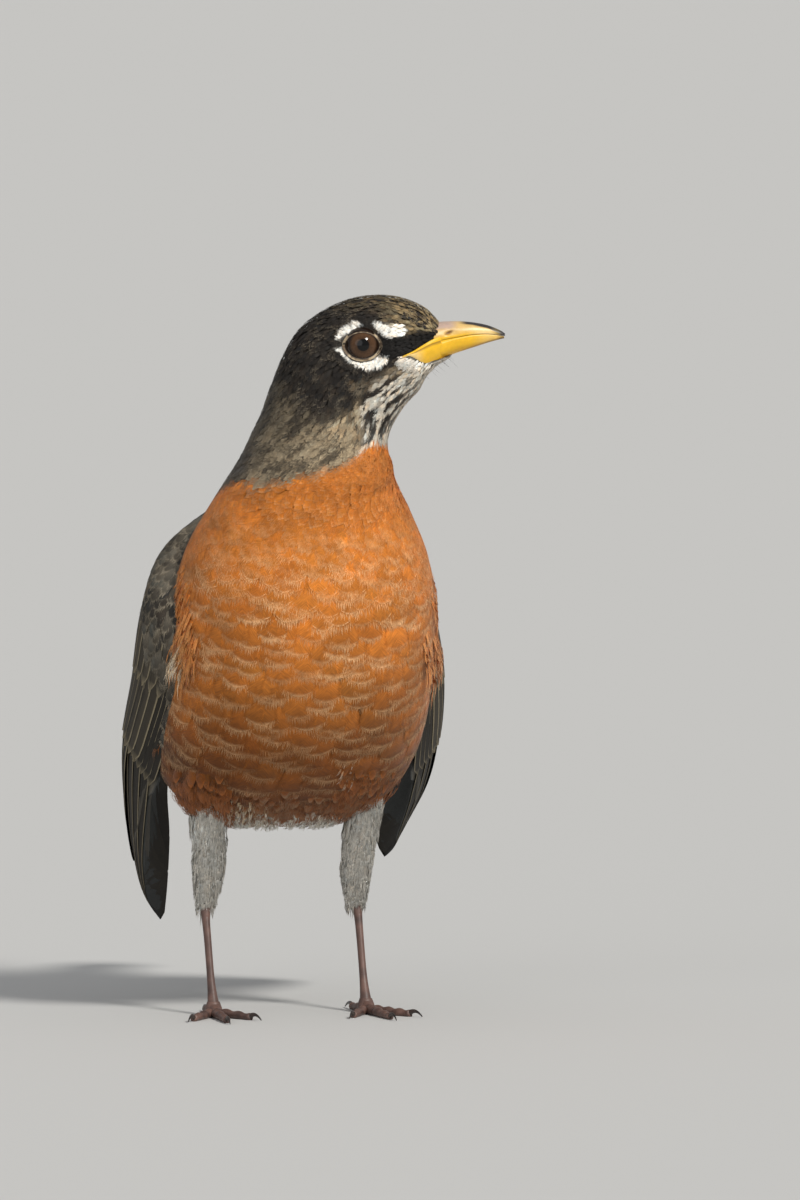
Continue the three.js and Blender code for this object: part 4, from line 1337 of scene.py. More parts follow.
def build_tufts():
    for (name, slot), rows in TUFTS.items():
        flock = Flock()
        for *numbers, look in rows:
            tuft(flock, *numbers, **look)
        flock.build(name, slot, DOWN)


# The chin's underside in the head's side view, as [ahead, above]: its middle, its side edges, and
# then [ahead, half width].
CHIN_LOW = [(14, -10.5), (17, -8), (20, -6), (23, -4.3), (24.6, -3.5)]
CHIN_RIM = [(14, -6.6), (17, -5.6), (20, -4.7), (23, -3.8), (24.6, -3.2)]
CHIN_WIDE = [(14, 5.4), (20, 4.2), (24.6, 2.9)]
# Where the feathers at the mouth's corner start, in the same view.
GAPE_EDGE = [(10.6, -3.2), (12, -3.1), (13.5, -3.5), (15.6, -5.0)]
CORNER_BLUSH = srgb(226, 190, 150)


def chin_feathers(flock):
    """White feathers, streaked with black, that run back from under the bill."""
    x, lateral = shares(30, 24.6, 14), shares(24, -1, 1).T
    low, high, wide = (on_line(line, x) for line in (CHIN_LOW, CHIN_RIM, CHIN_WIDE))
    height = low + (high - low) * np.abs(lateral) ** 2.2
    sheet = Surface(in_head(x, height, wide * lateral), False, 0.5)
    i, j = RNG.uniform(0, 22, 420), RNG.uniform(1, 22, 420)
    streak = smooth(0.5, 0.66, noise(sheet.point(i, j) * [0.35, 1, 1], 1.0, 21)) * smooth(4, 10, i)
    base = WHITE * 0.92 * (1 - 0.9 * streak[:, None])
    paint = coat_paint(base, base, 1, 0, 0.1)
    feathers(flock, sheet, i, j, sheet.run(i, j), RNG.uniform(2.4, 3.4, len(i)), 0.6,
             paint, **FINE, barbs=6, reach=0.2, thin=0.09, splay=0.2, cup=0.04)


def bristles(flock, count=9, steps=6):
    """Fine black bristles beside the bill's base, as narrow strips."""
    roots = [(RNG.uniform(14, 23), side * RNG.uniform(1.5, 5.0)) for side in (1, -1) for _ in range(count)]
    for ahead, aside in roots:
        start = in_head(ahead, on_line(CHIN_LOW, ahead) + 0.35 * abs(aside), aside)
        aim = unit(in_head(1.0, RNG.uniform(-0.9, -0.3), RNG.uniform(0.1, 0.4) * np.sign(aside)) - EYE)
        s, size = shares(steps), RNG.uniform(2.5, 4.5)
        spine = start + aim * size * s - UP * 0.12 * size * s * s
        edge = 0.05 * (1 - s) * np.array([0, 0.5, 0.8])
        points = np.stack([spine - edge, spine + edge], 1).reshape(1, -1, 3)
        colours, vanes, normals = (np.broadcast_to(v, points.shape) for v in (BLACK, 0.0, [0.0, -1.0, 0.3]))
        flock.add(points, colours, vanes, np.full((1, 2 * steps, 2), 0.01), normals, grid_faces(steps, 2))


def gape_feathers(flock, side, count=130):
    """Short pale feathers behind and below the mouth's corner."""
    ahead = RNG.uniform(10.6, 15.6, count)
    above = on_line(GAPE_EDGE, ahead) - RNG.uniform(0, 2.2, count)
    i, j = CHEEK[side].grid(ahead, above)
    out = BODY.normal(i, j)
    way = in_head(-0.75, -0.5) - EYE
    way = unit(way - dot(way, out)[:, None] * out + RNG.normal(0, 0.25, out.shape))
    base = mix(WHITE, CORNER_BLUSH, 0.5 * smooth(0.5, 0.8, noise(BODY.point(i, j), 1.2, 17)))
    paint = coat_paint(base, WHITE, 1, 0, 0.1)
    feathers(flock, BODY, i, j, way, RNG.uniform(1.6, 2.4, count), 0.4, paint, **FINE, barbs=6, reach=0.3,
             thin=0.07, splay=0.3, cup=0.04, lift=1.3, rise=1.6)


def build_chin():
    flock = Flock()
    chin_feathers(flock)
    bristles(flock)
    for side in SIDES:
        gape_feathers(flock, side)
    flock.build("coat_chin", "hood", FACE)


# ---------------------------------------------------------------- wings
def wing_bed(side):
    """The wing's closed inner body, just under its feathers, as rings of points."""
    t = shares(130, 0.02, 6.6)
    inset = on_line([(0, 0.02), (3.2, 0.03), (5, 0.12), (6.6, 0.3)], t)
    b = inset + (1 - 2 * inset) * shares(26).T
    outer, depth = wing_points(side, t, b), wing_depth(side, t, b)
    out = WING[side].normal(*wing_place(side, t, b))
    high = outer - np.minimum(2.5, 0.72 * depth)[..., None] * out
    low = outer - (depth - 0.3)[..., None] * out
    return np.concatenate([high, low[:, ::-1]], 1)


# The row of the wing's table where its round outer surface ends.
ROUND_END = 5.0
SHOULDER_TIP = srgb(176, 164, 142)


def wing_round(side):
    """The wing's whole outer surface, round both faces, down to where its long feathers begin."""
    t, b = shares(150, 0, ROUND_END), shares(40).T
    out = WING[side].normal(*wing_place(side, t, b))
    high = wing_points(side, t, b)
    low = high - wing_depth(side, t, b)[..., None] * out
    loop = np.concatenate([high, low[:, ::-1]], 1)
    if side == "right":
        loop = loop[:, ::-1]
    loop = even_ring(loop, 240)
    for _ in range(10):
        loop = (np.roll(loop, 1, 1) + loop * 2 + np.roll(loop, -1, 1)) / 4
    return Surface(loop, True, 1.0)


def build_shoulder(side, rows=24, cols=46):
    """Small feathers over the wing's shoulder and along its front edge."""
    surface = wing_round(side)
    row, col = (grid.ravel() for grid in np.meshgrid(np.arange(rows), np.arange(cols), indexing="ij"))
    t = 0.12 + 0.15 * row
    i = t / ROUND_END * (surface.rows - 1) + RNG.normal(0, 0.9, len(t))
    j = ((col + 0.5 * (row % 2)) / cols + RNG.normal(0, 0.004, len(t))) * surface.cols
    out = surface.normal(i, j)
    outward, front = dot(out, SIDES[side] * LEFT), dot(out, FORWARD)
    in_front = front > on_line([(1.7, 0.3), (2.4, 0.6), (3.6, 0.85)], t)
    keep = ((outward > -0.1) | (front > 0.2)) & ((t < 1.7) | in_front)
    i, j = i[keep], j[keep]
    points = surface.point(i, j)
    way = surface.run(i, j)
    length, half = RNG.uniform(8.0, 10.5, len(i)), RNG.uniform(1.6, 2.2, len(i))
    spot, patch = noise(points, 2.0, 12), noise(points, 6, 13)
    base = mix(mix(BACK * 0.6, BACK * 1.35, patch), BLACK * 1.3, 0.8 * smooth(0.4, 0.7, spot))
    flock = Flock()
    feathers(flock, surface, np.clip(i, 0, surface.rows - 2), j, way, length, half,
             coat_paint(base, SHOULDER_TIP, 0.8, 0.5, 0.12), cols=4, barbs=16, reach=0.1, thin=0.16, cup=0.12,
             splay=0.1)
    flock.build(f"coat_shoulder_{side}", "flight", VANE)


# The row of the wing's table where each primary ends, from the innermost to the outermost, which
# lies lowest, and how far the outermost lies from the front edge.
PRIMARY_TIPS = [6.7, 6.9, 7.1, 7.3, 7.5, 7.7, 7.9, 7.98, 7.8]
OUTERMOST = 0.12


def build_flight(side):
    """The primaries, the secondaries and the tertials."""
    flock, surface, spot, web = Flock(), WING[side], partial(wing_place, side), SIDES[side]
    for k, tip in enumerate(PRIMARY_TIPS):
        b = OUTERMOST + (len(PRIMARY_TIPS) - 1 - k) * 0.1
        quill(flock, surface, spot(2.5 + 0.06 * k, b * 0.7 + 0.04), spot(tip, b), 11.5 - 0.2 * k,
              flight_paint(FLIGHT, mix(FLIGHT_EDGE, FLIGHT, 0.02 * k)), height=-1.1 - 0.1 * k, web=web,
              outer=0.24, point=0.4, blunt=0.12, tilt=0.2, sink=0.8, rows=28, cup=0.1)
    quill_row(flock, surface, spot, 9, ((2.6, 0.28), (1.7, 0.68)), ((6.2, 0.54), (5.3, 0.90)), 11,
              {"base": FLIGHT * 1.05, "edge": FLIGHT_EDGE, "tip": 0.35}, -1.0, 0.08, web=web, outer=0.34,
              point=0.2, blunt=0.10, tilt=0.25, sink=1.4, rows=24, cup=0.1)
    quill_row(flock, surface, spot, 3, ((1.5, 0.72), (0.9, 0.86)), ((5.0, 0.93), (3.5, 0.97)), 12.5,
              {"base": FLIGHT * 1.25, "edge": FLIGHT_EDGE, "tip": 0.5}, -0.3, 0.12, web=web, outer=0.42,
              point=0.1, blunt=0.14, tilt=0.25, sink=2.0, rows=18)
    flock.build(f"feathers_{side}_flight", "flight", VANE)


def build_lining(side):
    """The primaries from below, and the coverts over their roots."""
    flock, surface, spot, web = Flock(), UNDER[side], partial(under_place, side), -SIDES[side]
    for k, tip in enumerate(PRIMARY_TIPS):
        b = OUTERMOST + (len(PRIMARY_TIPS) - 1 - k) * 0.098
        quill(flock, surface, spot(3.0, b * 0.8 + 0.05), spot(tip - 0.05, b), 11.5 - 0.2 * k,
              flight_paint(UNDERWING, UNDERWING * 1.5, edge_strength=0.3), height=-0.5 + 0.05 * k, web=web,
              outer=0.34, point=1.0, blunt=0.16, tilt=0.15, sink=0.3, rows=24, cup=0.05)
    quill_row(flock, surface, spot, 10, ((1.6, 0.08), (1.6, 0.88)), ((4.6, 0.1), (3.9, 0.9)), 9,
              {"base": LINING * 1.3, "edge": UNDERWING * 1.4, "tip": 0.4}, -0.1, 0.03, web=web, outer=0.45,
              point=0.1, blunt=0.2, tilt=0.2, sink=0.6, rows=14, cup=0.1)
    flock.build(f"feathers_{side}_lining", "flight", VANE)


def build_coverts(side):
    """The primary coverts, the greater coverts and the median coverts."""
    flock, surface, spot, web = Flock(), WING[side], partial(wing_place, side), SIDES[side]
    quill_row(flock, surface, spot, 9, ((2.4, 0.02), (2.3, 0.20)), ((4.3, 0.06), (3.8, 0.32)), 5.2,
              {"base": FLIGHT, "edge": FLIGHT_EDGE, "tip": 0.5}, -0.85, 0.05, web=web, outer=0.4, point=0.4,
              tilt=0.2, sink=1.0, rows=12)
    quill_row(flock, surface, spot, 13, ((1.55, 0.10), (1.55, 0.78)), ((4.05, 0.20), (3.40, 0.90)), 6.6,
              {"base": COVERT * 0.8, "edge": FLIGHT_EDGE, "tip": 0.7}, -0.55, 0.035, web=web, outer=0.42,
              point=0.1, blunt=0.16, tilt=0.28, sink=1.5, rows=14)
    quill_row(flock, surface, spot, 15, ((1.2, 0.03), (1.2, 0.85)), ((3.0, 0.04), (2.6, 0.92)), 5.4,
              {"base": COVERT * 0.95, "edge": FLIGHT_EDGE, "tip": 0.8, "edge_strength": 0.7}, -0.3, 0.02,
              web=web, outer=0.45, point=0.0, blunt=0.24, tilt=0.25, sink=1.5, rows=10)
    flock.build(f"feathers_{side}_coverts", "flight", VANE)


def build_wing(side):
    build_flight(side)
    build_lining(side)
    build_coverts(side)
    build_shoulder(side)
    ring = wing_bed(side)
    points, faces = tube_mesh(ring[:, ::-1] if side == "right" else ring)
    add_mesh(f"wing_{side}_bed", points, faces, LINING, "flight", VANE,
             replaces=(f"wing_{side}_coverts", f"wing_{side}_secondaries", f"wing_{side}_primaries"))


# ---------------------------------------------------------------- tail
# The tail's root and tip as [back, left, height], and half its width at each.
TAIL_ROOT, TAIL_TIP = (56, 0, 79.5), (134, 8, 47)
TAIL_WIDE, TAIL_ARCH = (8, 13), 1.8
TAIL_ROWS, TAIL_COLS = 60, 40
# The small feathers over and under the tail's root: [1 above and -1 below, length, colour, fringe].
TAIL_COVERTS = [(1, 1.16, BACK, BACK * 1.6), (-1, 1.22, VENT, WHITE)]


def build_tail():
    root, tip = in_body(*TAIL_ROOT), in_body(*TAIL_TIP)
    along = unit(tip - root)
    across = unit(np.cross(UP, along))
    over = np.cross(along, across)
    t, u = shares(TAIL_ROWS), shares(TAIL_COLS, -1, 1).T
    wide = TAIL_WIDE[0] + (TAIL_WIDE[1] - TAIL_WIDE[0]) * t
    points = root + (tip - root) * t[..., None] + (u * wide)[..., None] * across
    points = points + (TAIL_ARCH * (0.5 - u * u) + 0.6)[..., None] * over
    surface, middle = Surface(points, False, 2.4), (TAIL_COLS - 1) / 2
    flock = Flock()
    # pairs from the outermost, which lies lowest, to the innermost; the right one lies just under
    for k in range(5, -1, -1):
        for sign in (1, -1):
            lower = sign < 0
            quill(flock, surface, (12, middle + sign * (1 + 2.2 * k)),
                  (57.5 - 0.25 * k - 0.4 * lower, middle + sign * (2.2 + 2.55 * k)), 11.5,
                  flight_paint(FLIGHT, FLIGHT_EDGE * 0.6, edge_strength=0.5),
                  height=0.3 - 0.22 * k - 0.1 * lower, web=-sign, outer=0.38 - 0.02 * k, point=0.1,
                  blunt=0.07, tilt=0.12, sink=0.5, rows=24)
    flock.build("feathers_tail", "flight", VANE, replaces=("tail",))

    covers = Flock()
    for face, long, base, fringe in TAIL_COVERTS:
        sheet = (points + (face * 1.5 - 0.4) * over)[:, ::face]
        sheet = Surface(np.ascontiguousarray(sheet), False, 0.9)
        i, j = np.meshgrid(np.linspace(6, 22, 7), np.linspace(2, 37, 9), indexing="ij")
        i, j = ((grid + RNG.normal(0, 0.8, grid.shape)).ravel() for grid in (i, j))
        size = RNG.uniform(12, 16, len(i)) * long
        base = base * (0.85 + 0.3 * noise(sheet.point(i, j), 5, 14))[:, None]
        feathers(covers, sheet, i, j, sheet.run(i, j), size, 3.6,
                 coat_paint(base, fringe, 0.6, 0.2), cols=4, barbs=24, cup=0.15)
    covers.build("coat_tail_coverts", "nape", DOWN)


# ---------------------------------------------------------------- bill
# The bill in the head's side view: [ahead, ridge, mouth's edge, floor, half width].
BILL = [
    [16.5, 4.6, -0.8, -5.4, 6.1],
    [18.8, 5.4, 0.2, -4.9, 5.7],
    [21.6, 5.8, 1.0, -4.0, 5.0],
    [26.0, 5.9, 1.8, -2.5, 4.0],
    [30.0, 5.6, 2.4, -1.2, 3.0],
    [34.0, 4.8, 2.5, 0.1, 1.9],
    [37.2, 3.5, 2.1, 1.0, 1.0],
    [38.6, 2.6, 1.9, 1.3, 0.5],
]
# Half the slit between the halves, and how much shorter the lower one is, in rows.
SLIT, LOWER_SHORT = 0.06, 0.25
NOSTRIL, NOSTRIL_SLOPE = (23.4, 3.0), 0.35
LOWER_SEAM = [(16, -1.8), (30, 0.7), (36, 1.2)]
BILL_YELLOW, BILL_TAN, BILL_CREAM = srgb(236, 184, 34), srgb(216, 180, 112), srgb(238, 214, 160)
BILL_DUSK, BILL_PINK, BILL_OCHRE = srgb(44, 40, 40), srgb(186, 160, 144), srgb(140, 96, 24)
BILL_TIP, NOSTRIL_BROWN, GAPE_FOLD = srgb(120, 104, 62), srgb(104, 58, 26), srgb(120, 84, 40)


def nostril(ahead, above, half_length, half_height):
    """1 in the middle of the nostril's slanting oval, and 0 beyond it."""
    ahead = ahead - NOSTRIL[0]
    rise = above - NOSTRIL[1] - NOSTRIL_SLOPE * ahead
    return smooth(1.0, 0.3, np.hypot(ahead / half_length, rise / half_height))


def bill_colour(ahead, above, upper):
    along, ridge, edge, floor, _ = np.array(BILL).T
    over = np.interp(ahead, along, ridge) - above
    mouth = above - np.interp(ahead, along, edge)
    keel = above - np.interp(ahead, along, floor)
    grain = noise(np.stack([ahead * 0.3, above * 2, 0 * above], -1), 1.0, 31) - 0.5
    dusk = smooth(36.0, 38.0, ahead + 0.3 * grain)
    if not upper:
        base = mix(BILL_YELLOW, BILL_CREAM, 0.35 * smooth(29, 35, ahead))
        base = mix(base, BILL_OCHRE, 0.7 * smooth(0.8, 0.1, keel) * smooth(24, 30, ahead))
        base = mix(base, BILL_CREAM, smooth(20.5, 17, ahead + 0.8 * grain))
        return mix(base, BILL_DUSK, 0.6 * dusk)
    base = mix(BILL_YELLOW, BILL_TAN, smooth(0.5, 1.9, mouth + 0.8 * grain))
    base = mix(base, BILL_CREAM, 0.7 * smooth(27, 33, ahead) * smooth(0.7, 1.6, over))
    base = mix(base, BILL_PINK, smooth(27, 23.5, ahead + 1.5 * grain) * smooth(2.4, 1.2, over))
    base = mix(base, BILL_TAN * 0.7, 0.5 * smooth(1.4, 0.5, over) * smooth(26, 29, ahead))
    ridge_line = 0.35 + 0.035 * np.clip(ahead - 27, 0, 20)
    base = mix(base, BILL_DUSK, smooth(ridge_line + 0.3, ridge_line, over) * smooth(25.5, 28.5, ahead))
    base = mix(base, BILL_TIP, 0.7 * smooth(34.4, 36.8, ahead))
    base = mix(base, BILL_DUSK, dusk)
    return mix(base, NOSTRIL_BROWN, 0.9 * nostril(ahead, above, 1.5, 0.6))


def build_bill_half(name, side):
    """side is 1 for the upper half and -1 for the lower."""
    upper = side > 0
    t = np.linspace(0, len(BILL) - 1 - (0 if upper else LOWER_SHORT), 90)
    ahead, ridge, edge, floor, wide = (v[:, None] for v in through(BILL, t).T)
    angle = shares(41, 0, np.pi).T
    reach = (ridge - edge if upper else edge - floor) - SLIT
    roundness = 0.86 if upper else 0.8 - 0.3 * smooth(26, 21, ahead)
    height = edge + side * (SLIT + reach * np.sin(angle) ** roundness)
    lip = 0.08 * smooth(0.30, 0.0, np.sin(angle)) * smooth(38, 30, ahead)
    out = (wide - lip) * np.cos(angle)
    if upper:
        groove = smooth(1.0, 0.0, np.hypot((ahead - 24.0) / 4.0, (height - 2.9) / 1.2))
        out = out * (1 - 0.16 * nostril(ahead, height, 1.35, 0.55) - 0.05 * groove)
    else:
        out = out * (1 - 0.015 * smooth(0.22, 0.0, np.abs(height - on_line(LOWER_SEAM, ahead))))
    points = in_head(ahead, height, out)
    points, faces = tube_mesh(points[:, ::-1] if upper else points)
    view = head_place(points)[:2]
    add_mesh(name + "_horn", points, faces, bill_colour(*view, upper), "bill", HORN, replaces=(name,))


def build_gape(side, rows=26, cols=13):
    """The soft yellow gape that runs back under the lores."""
    s, v = shares(rows), shares(cols, -1, 1).T
    middle = on_line([(0, -3.1), (0.27, -2.0), (0.48, -0.85), (0.68, 0.2), (1, 1.2)], s)
    half = np.where(v > 0, 0.22 + 1.1 * s, 0.25 + 4.2 * smooth(0.1, 0.6, s) + 0.5 * s)
    fold = np.abs(v)
    lift = 0.35 * (1 - v * v) ** 0.5 * smooth(0, 0.15, s) * smooth(1.0, 0.7, s)
    lift = lift - 0.2 * smooth(0.12, 0.0, fold) - 0.04
    points = on_cheek(side, 10.9 + 11.7 * s - 0.25 * v * s, middle + v * half, lift)
    shade = mix(BILL_YELLOW, BILL_CREAM, 0.7 * smooth(0.55, 0.2, s) * smooth(0.1, -0.3, v))
    shade = mix(shade, GAPE_FOLD, 0.7 * smooth(0.16, 0.02, fold))
    add_mesh(f"gape_{side}", points.reshape(-1, 3), [grid_faces(rows, cols)], shade.reshape(-1, 3), "bill",
             HORN)


# ---------------------------------------------------------------- eyes
IRIS, IRIS_RIM, PUPIL = srgb(70, 48, 30), srgb(30, 20, 14), srgb(4, 4, 4)
LID_DARK, LID_DULL, LID_BUFF = srgb(38, 30, 26), srgb(112, 94, 74), srgb(188, 168, 136)


def build_eyeball(side):
    sign, angle, polar = SIDES[side], turn(64), shares(70, 0.004, np.pi * 0.75)
    r, along = EYE_RADIUS * np.sin(polar), EYE_RADIUS * np.cos(polar)
    bulge = 0.12 * smooth(3.6, 1.0, r) * (along > 0)
    points = in_head(r * np.cos(angle), r * np.sin(angle), sign * (EYE_APART + along + bulge))
    points, faces = tube_mesh(points[:, ::-sign])
    ahead, above, _ = head_place(points)
    r = np.hypot(ahead - 0.25, above - 0.25)
    colour = mix(IRIS * 0.8, IRIS * 1.25, smooth(1.6, 2.8, r))
    colour = mix(colour, IRIS_RIM, smooth(3.0, 3.9, r))
    colour = mix(colour, PUPIL, smooth(1.75, 1.55, r))
    add_mesh(f"eyeball_{side}", points, faces, colour, "eye", EYE_GLOSS, replaces=(f"eye_{side}",))


def build_lid(side, rows=9, cols=120):
    """The beaded lid, from the eyeball out to the face."""
    sign, angle, ring = SIDES[side], turn(cols), shares(rows)
    ahead = (4.36 + 0.85 * ring) * (1 + 0.05 * np.abs(np.cos(angle)) ** 6) * np.cos(angle)
    above = (3.46 + 0.85 * ring) * np.sin(angle)
    outer = head_place(on_cheek(side, ahead, above))[2]
    ball = EYE_APART + np.sqrt(np.clip(EYE_RADIUS**2 - ahead**2 - above**2, 0.5, None))
    away = smooth(0.15, 0.9, ring)
    bead = 0.08 * np.sin(angle * 30 + 3 * ring) * np.sin(ring * np.pi)
    swell = 0.30 * np.sin(np.clip(ring * 1.2, 0, 1) * np.pi) ** 0.7
    points = in_head(ahead, above, sign * (ball * (1 - away) + outer * away + swell + bead + 0.04))
    colour = mix(LID_DULL, LID_BUFF, smooth(0.35, 0.75, noise(points, 0.8, 11)))
    colour = mix(LID_DARK, colour, smooth(0.08, 0.3, ring))
    colour = mix(colour, BLACK, 0.8 * smooth(0.8, 1.0, ring))
    quads = grid_faces(rows, cols, closed=True)[:, ::-sign]
    add_mesh(f"lid_{side}", points.reshape(-1, 3), [quads], colour.reshape(-1, 3), "eye", LID)


# ---------------------------------------------------------------- legs and feet
LEG_BROWN, LEG_DARK = srgb(112, 84, 74), srgb(64, 48, 44)
CLAW_BROWN, CLAW_DARK, THIGH_TIP = srgb(58, 46, 40), srgb(30, 26, 24), srgb(226, 222, 212)
# Each toe: [degrees from straight ahead, length, radius, claw's length, joints].
TOES = {
    "inner": (-27, 15.5, 1.35, 4.6, 3),
    "middle": (4, 21.5, 1.5, 5.4, 4),
    "outer": (33, 16.5, 1.35, 4.6, 4),
    "hind": (184, 12.5, 1.45, 6.6, 2),
}
# A toe's radius at its tip, its middle's height over the ground as a share of its radius, and how
# long its scales are.
TOE_TIP, SOLE_SHARE, TOE_SCALE = 0.95, 0.84, 1.25
THIGH_LAST = 118


def ridge(x):
    """1 where x is whole, and 0 half way between."""
    return np.abs(np.mod(x, 1) - 0.5) * 2


def thigh_paint(surface, i, j, fringe, strength):
    tone = noise(surface.point(i, j), 3, 6)[:, None]
    return coat_paint(THIGH * (0.7 + 0.5 * tone), fringe, strength, 0.2)


def build_thigh(side, rows=26, cols=20, wisps=110):
    """The thigh's white feathers, in rows, with loose ones over the ankle."""
    surface = Surface(leg_rings(thigh_rows(side), 120, 96)[:, ::-1], True, 1.1)
    flock = Flock()
    i, j = np.broadcast_arrays(shares(rows, 2, 112), np.linspace(0, surface.cols, cols, endpoint=False))
    i = (i + RNG.normal(0, 1.2, i.shape)).ravel().clip(0, THIGH_LAST - 1)
    j = (j + RNG.normal(0, 1.2, j.shape) + 2.4 * (np.arange(rows) % 2)[:, None]).ravel()
    length = on_line([(0, 10), (60, 7.5), (THIGH_LAST, 4.5)], i) * RNG.uniform(0.7, 1.3, len(i))
    feathers(flock, surface, i, j, surface.run(i, j), length,
             on_line([(0, 1.5), (60, 1.1), (THIGH_LAST, 0.7)], i), thigh_paint(surface, i, j, THIGH_TIP, 0.8),
             **FINE, barbs=16, reach=0.35, thin=0.15, splay=0.6, cup=0.15, bend=0.9, rise=1.8,
             lift=RNG.uniform(0.8, 1.5, len(i)))
    i, j = RNG.uniform(84, THIGH_LAST - 1, wisps), RNG.uniform(0, surface.cols, wisps)
    paint = thigh_paint(surface, i, j, WHITE, 0.6)
    length, lift = RNG.uniform(4, 7.5, wisps), RNG.uniform(-0.3, 0.9, wisps)
    feathers(flock, surface, i, j, surface.run(i, j), length, 0.55, paint, **FINE,
             barbs=10, reach=0.4, thin=0.1, splay=0.5, cup=0.2, bend=0.9, rise=1.2, lift=lift)
    flock.build(f"coat_thigh_{side}", "thigh", DOWN)


def build_tarsus(side, steps=110, cols=36):
    """The bare leg, with scutes across its front and a keel behind."""
    sign, foot = SIDES[side], SIDES[side] * FOOT_OUT[side]
    rows = [
        [ANKLE_BACK + 0.2, foot - sign * 0.4, TARSUS_TOP + 2.5, 1.6, 1.5],
        [ANKLE_BACK + 0.1, foot - sign * 0.2, TARSUS_TOP - 0.5, 1.9, 1.65],
        [ANKLE_BACK - 1.2, foot, TARSUS_TOP - 4, 1.45, 1.15],
        [ANKLE_BACK - 3.5, foot, TARSUS_TOP - 10, 1.25, 1.0],
        [FOOT_BACK + 3.5, foot, TARSUS_TOP - 20, 1.25, 1.05],
        [FOOT_BACK + 1, foot, 4.2, 1.65, 1.5],
        [FOOT_BACK + 0.4, foot, 2.6, 1.9, 2.0],
    ]
    rings = leg_rings(rows, steps, cols)
    centre, backward = rings.mean(1, keepdims=True), np.cos(turn(cols))
    scutes = smooth(0.86, 1.0, ridge(shares(steps, 0, len(rows) - 1) * 1.6))
    scutes = 0.05 * scutes * smooth(-0.2, -0.7, backward)
    keel = 0.10 * smooth(0.75, 1.0, backward)
    points, faces = tube_mesh(centre + (rings - centre) * (1 + keel - scutes)[..., None])
    colour = mix(LEG_BROWN, LEG_DARK, noise(points, 2.0, 5))
    add_mesh(f"tarsus_{side}", points, faces, colour, "leg", LEG, replaces=(f"shank_{side}",))


def toe_rings(base, heading, across, length, radius, joints):
    """A toe's rings: it narrows to its tip, with knuckles, scales on top and pads below."""
    s, sine, cosine = shares(90), np.sin(turn(26)), np.cos(turn(26))
    r = radius + (TOE_TIP - radius) * s + 0.10 * np.cos(s * joints * 2 * np.pi) + 0.02
    r = r - 0.5 * smooth(0.97, 1.0, s)
    r = r * (1 - 0.07 * smooth(0.1, 0.6, sine) * smooth(0.8, 1.0, ridge(s * length / TOE_SCALE)))
    r = r - 0.10 * smooth(0.75, 1.0, ridge(s * joints + 0.5)) * smooth(0.1, -0.6, sine)
    height = np.maximum(0.0, r * (SOLE_SHARE + sine) + 1.1 * smooth(0.16, 0.0, s) * smooth(-0.6, 0.2, sine))
    distance = 0.2 + s * (length - 0.1)
    return base + distance[..., None] * heading + (r * cosine)[..., None] * across + height[..., None] * UP


def foot_rings(base):
    """The foot's round middle, up to the tarsus."""
    s, angle = shares(24), turn(36)
    r = on_line([(0, 1.7), (0.2, 2.4), (0.6, 2.3), (1, 1.7)], s)
    points = base + (r * np.cos(angle) - s * 0.6)[..., None] * FORWARD
    return points + (r * np.sin(angle))[..., None] * LEFT + (s * 4.0)[..., None] * UP


def build_foot(side):
    base = in_body(FOOT_BACK, SIDES[side] * FOOT_OUT[side], 0)
    tubes = []
    for name, (degrees, length, radius, claw, joints) in TOES.items():
        heading = facing(BODY_YAW + SIDES[side] * degrees)
        across = np.cross(UP, heading)
        tubes.append(toe_rings(base, heading, across, length, radius, joints))
        build_claw(f"{side}_{name}", base, heading, across, length, claw)
    tubes.append(foot_rings(base))
    all_points, all_faces, count = [], [], 0
    for points, faces in map(tube_mesh, tubes):
        all_points.append(points)
        all_faces.append([group + count for group in faces])
        count += len(points)
    points = np.concatenate(all_points)
    faces = [np.concatenate(group) for group in zip(*all_faces)]
    colour = mix(LEG_BROWN, LEG_DARK, noise(points, 1.6, 5))
    # painted shade: the toes darken to 0.85 of their colour where they meet the floor
    colour = colour * on_line([(0, 0.85), (0.8, 1)], points[:, 2])[:, None]
    add_mesh(f"toes_{side}", points, faces, colour, "leg", LEG, replaces=(f"foot_{side}",))


# A claw's radius at its root and at its tip, how far it arches up, and how low its tip ends.
CLAW_ROOT, CLAW_POINT, CLAW_ARCH, CLAW_LOW = 0.82, 0.16, 0.9, 0.27


def build_claw(name, base, heading, across, length, claw):
    s, angle = shares(40), turn(20)
    start = TOE_TIP * SOLE_SHARE
    r = CLAW_ROOT + (CLAW_POINT - CLAW_ROOT) * s**0.8
    height = CLAW_ARCH * 4 * s * (1 - s) - s * (start - CLAW_LOW) + 0.25 * (1 - s) + start
    slope = np.arctan2(CLAW_ARCH * 4 * (1 - 2 * s) - start, claw)
    lift = -np.sin(slope)[..., None] * heading + np.cos(slope)[..., None] * UP
    squeeze = np.cos(angle) * (0.8 - 0.15 * np.abs(np.sin(angle)))
    points = base + (length - 0.3 + claw * s)[..., None] * heading + height[..., None] * UP
    points = points + (r * squeeze)[..., None] * across + (r * np.sin(angle))[..., None] * lift
    points[..., 2] = np.maximum(points[..., 2], 0)
    points, faces = tube_mesh(points)
    far = dot(points - base, heading) - length
    colour = mix(CLAW_BROWN, CLAW_DARK, smooth(0, claw, far))
    add_mesh(f"nail_{name}", points, faces, colour, "claw", CLAW, replaces=(f"claw_{name}",))


# ---------------------------------------------------------------- everything in its place
build_skin()
build_coat()
build_eye_rims()
build_tufts()
build_chin()
for one_side in SIDES:
    build_wing(one_side)
build_tail()
build_bill_half("bill_upper", 1)
build_bill_half("bill_lower", -1)
for one_side in SIDES:
    build_gape(one_side)
for one_side in SIDES:
    build_eyeball(one_side)
    build_lid(one_side)
for one_side in SIDES:
    build_thigh(one_side)
    build_tarsus(one_side)
    build_foot(one_side)

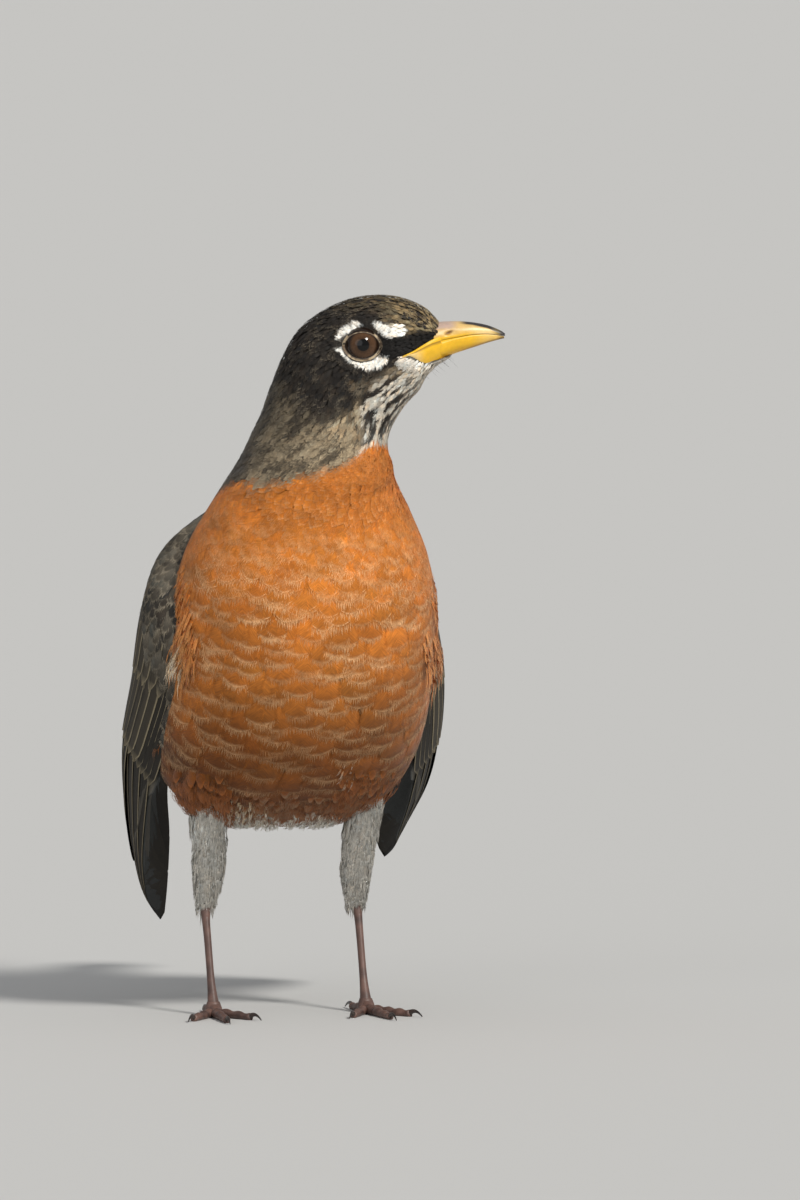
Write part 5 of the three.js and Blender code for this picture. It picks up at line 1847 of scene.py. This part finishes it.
# ---------------------------------------------------------------- stage, camera and light
# The picture's middle, in the bird's own mm. The camera stands this many metres away, and its
# picture spans FRAME_HEIGHT metres there. SENSOR is in mm.
LOOK_AT = np.array([27.0, -25.0, 115.5])
DISTANCE, FRAME_HEIGHT, SENSOR = 6.0, 0.3243, 36
FLOOR_REACH = 25.0

scene = bpy.context.scene
corners = [(-FLOOR_REACH, -FLOOR_REACH, 0), (FLOOR_REACH, -FLOOR_REACH, 0), (FLOOR_REACH, FLOOR_REACH, 0),
           (-FLOOR_REACH, FLOOR_REACH, 0)]
floor = plain_object("floor", corners, [(0, 1, 2, 3)])
floor_material, _, floor_shader = new_material("floor")
floor_shader.inputs["Base Color"].default_value = (0.56, 0.56, 0.55, 1)
floor_shader.inputs["Roughness"].default_value = 0.8
floor.data.materials.append(floor_material)

target = Vector(to_world(LOOK_AT))
camera_data = bpy.data.cameras.new("camera")
camera_data.sensor_fit = "VERTICAL"
camera_data.sensor_height = SENSOR
camera_data.lens = SENSOR * DISTANCE / FRAME_HEIGHT
camera_data.clip_end = 100
camera = bpy.data.objects.new("camera", camera_data)
camera.location = target + Vector((0, -math.cos(CAMERA_TILT), math.sin(CAMERA_TILT))) * DISTANCE
camera.rotation_euler = (target - camera.location).to_track_quat("-Z", "Y").to_euler()
scene.collection.objects.link(camera)
scene.camera = camera


def add_sun(name, azimuth, height, wide, power, colour):
    """A broad even light from one direction; azimuth is degrees to the right of the camera."""
    data = bpy.data.lights.new(name, "SUN")
    data.angle, data.energy, data.color = math.radians(wide), power, colour
    lamp = bpy.data.objects.new(name, data)
    around, up = math.radians(azimuth), math.radians(height)
    away = Vector((math.sin(around) * math.cos(up), -math.cos(around) * math.cos(up), math.sin(up)))
    lamp.location = target + away
    lamp.rotation_euler = (-away).to_track_quat("-Z", "Y").to_euler()
    scene.collection.objects.link(lamp)


add_sun("key", 38, 42, 12, 2.7, (1.0, 0.97, 0.92))
add_sun("fill", -25, 16, 50, 0.6, (0.98, 0.98, 1.0))
world = bpy.data.worlds.new("world")
world.use_nodes = True
world.node_tree.nodes["Background"].inputs["Color"].default_value = (0.92, 0.93, 0.95, 1)
world.node_tree.nodes["Background"].inputs["Strength"].default_value = 0.42
scene.world = world
scene.view_settings.view_transform = "Standard"
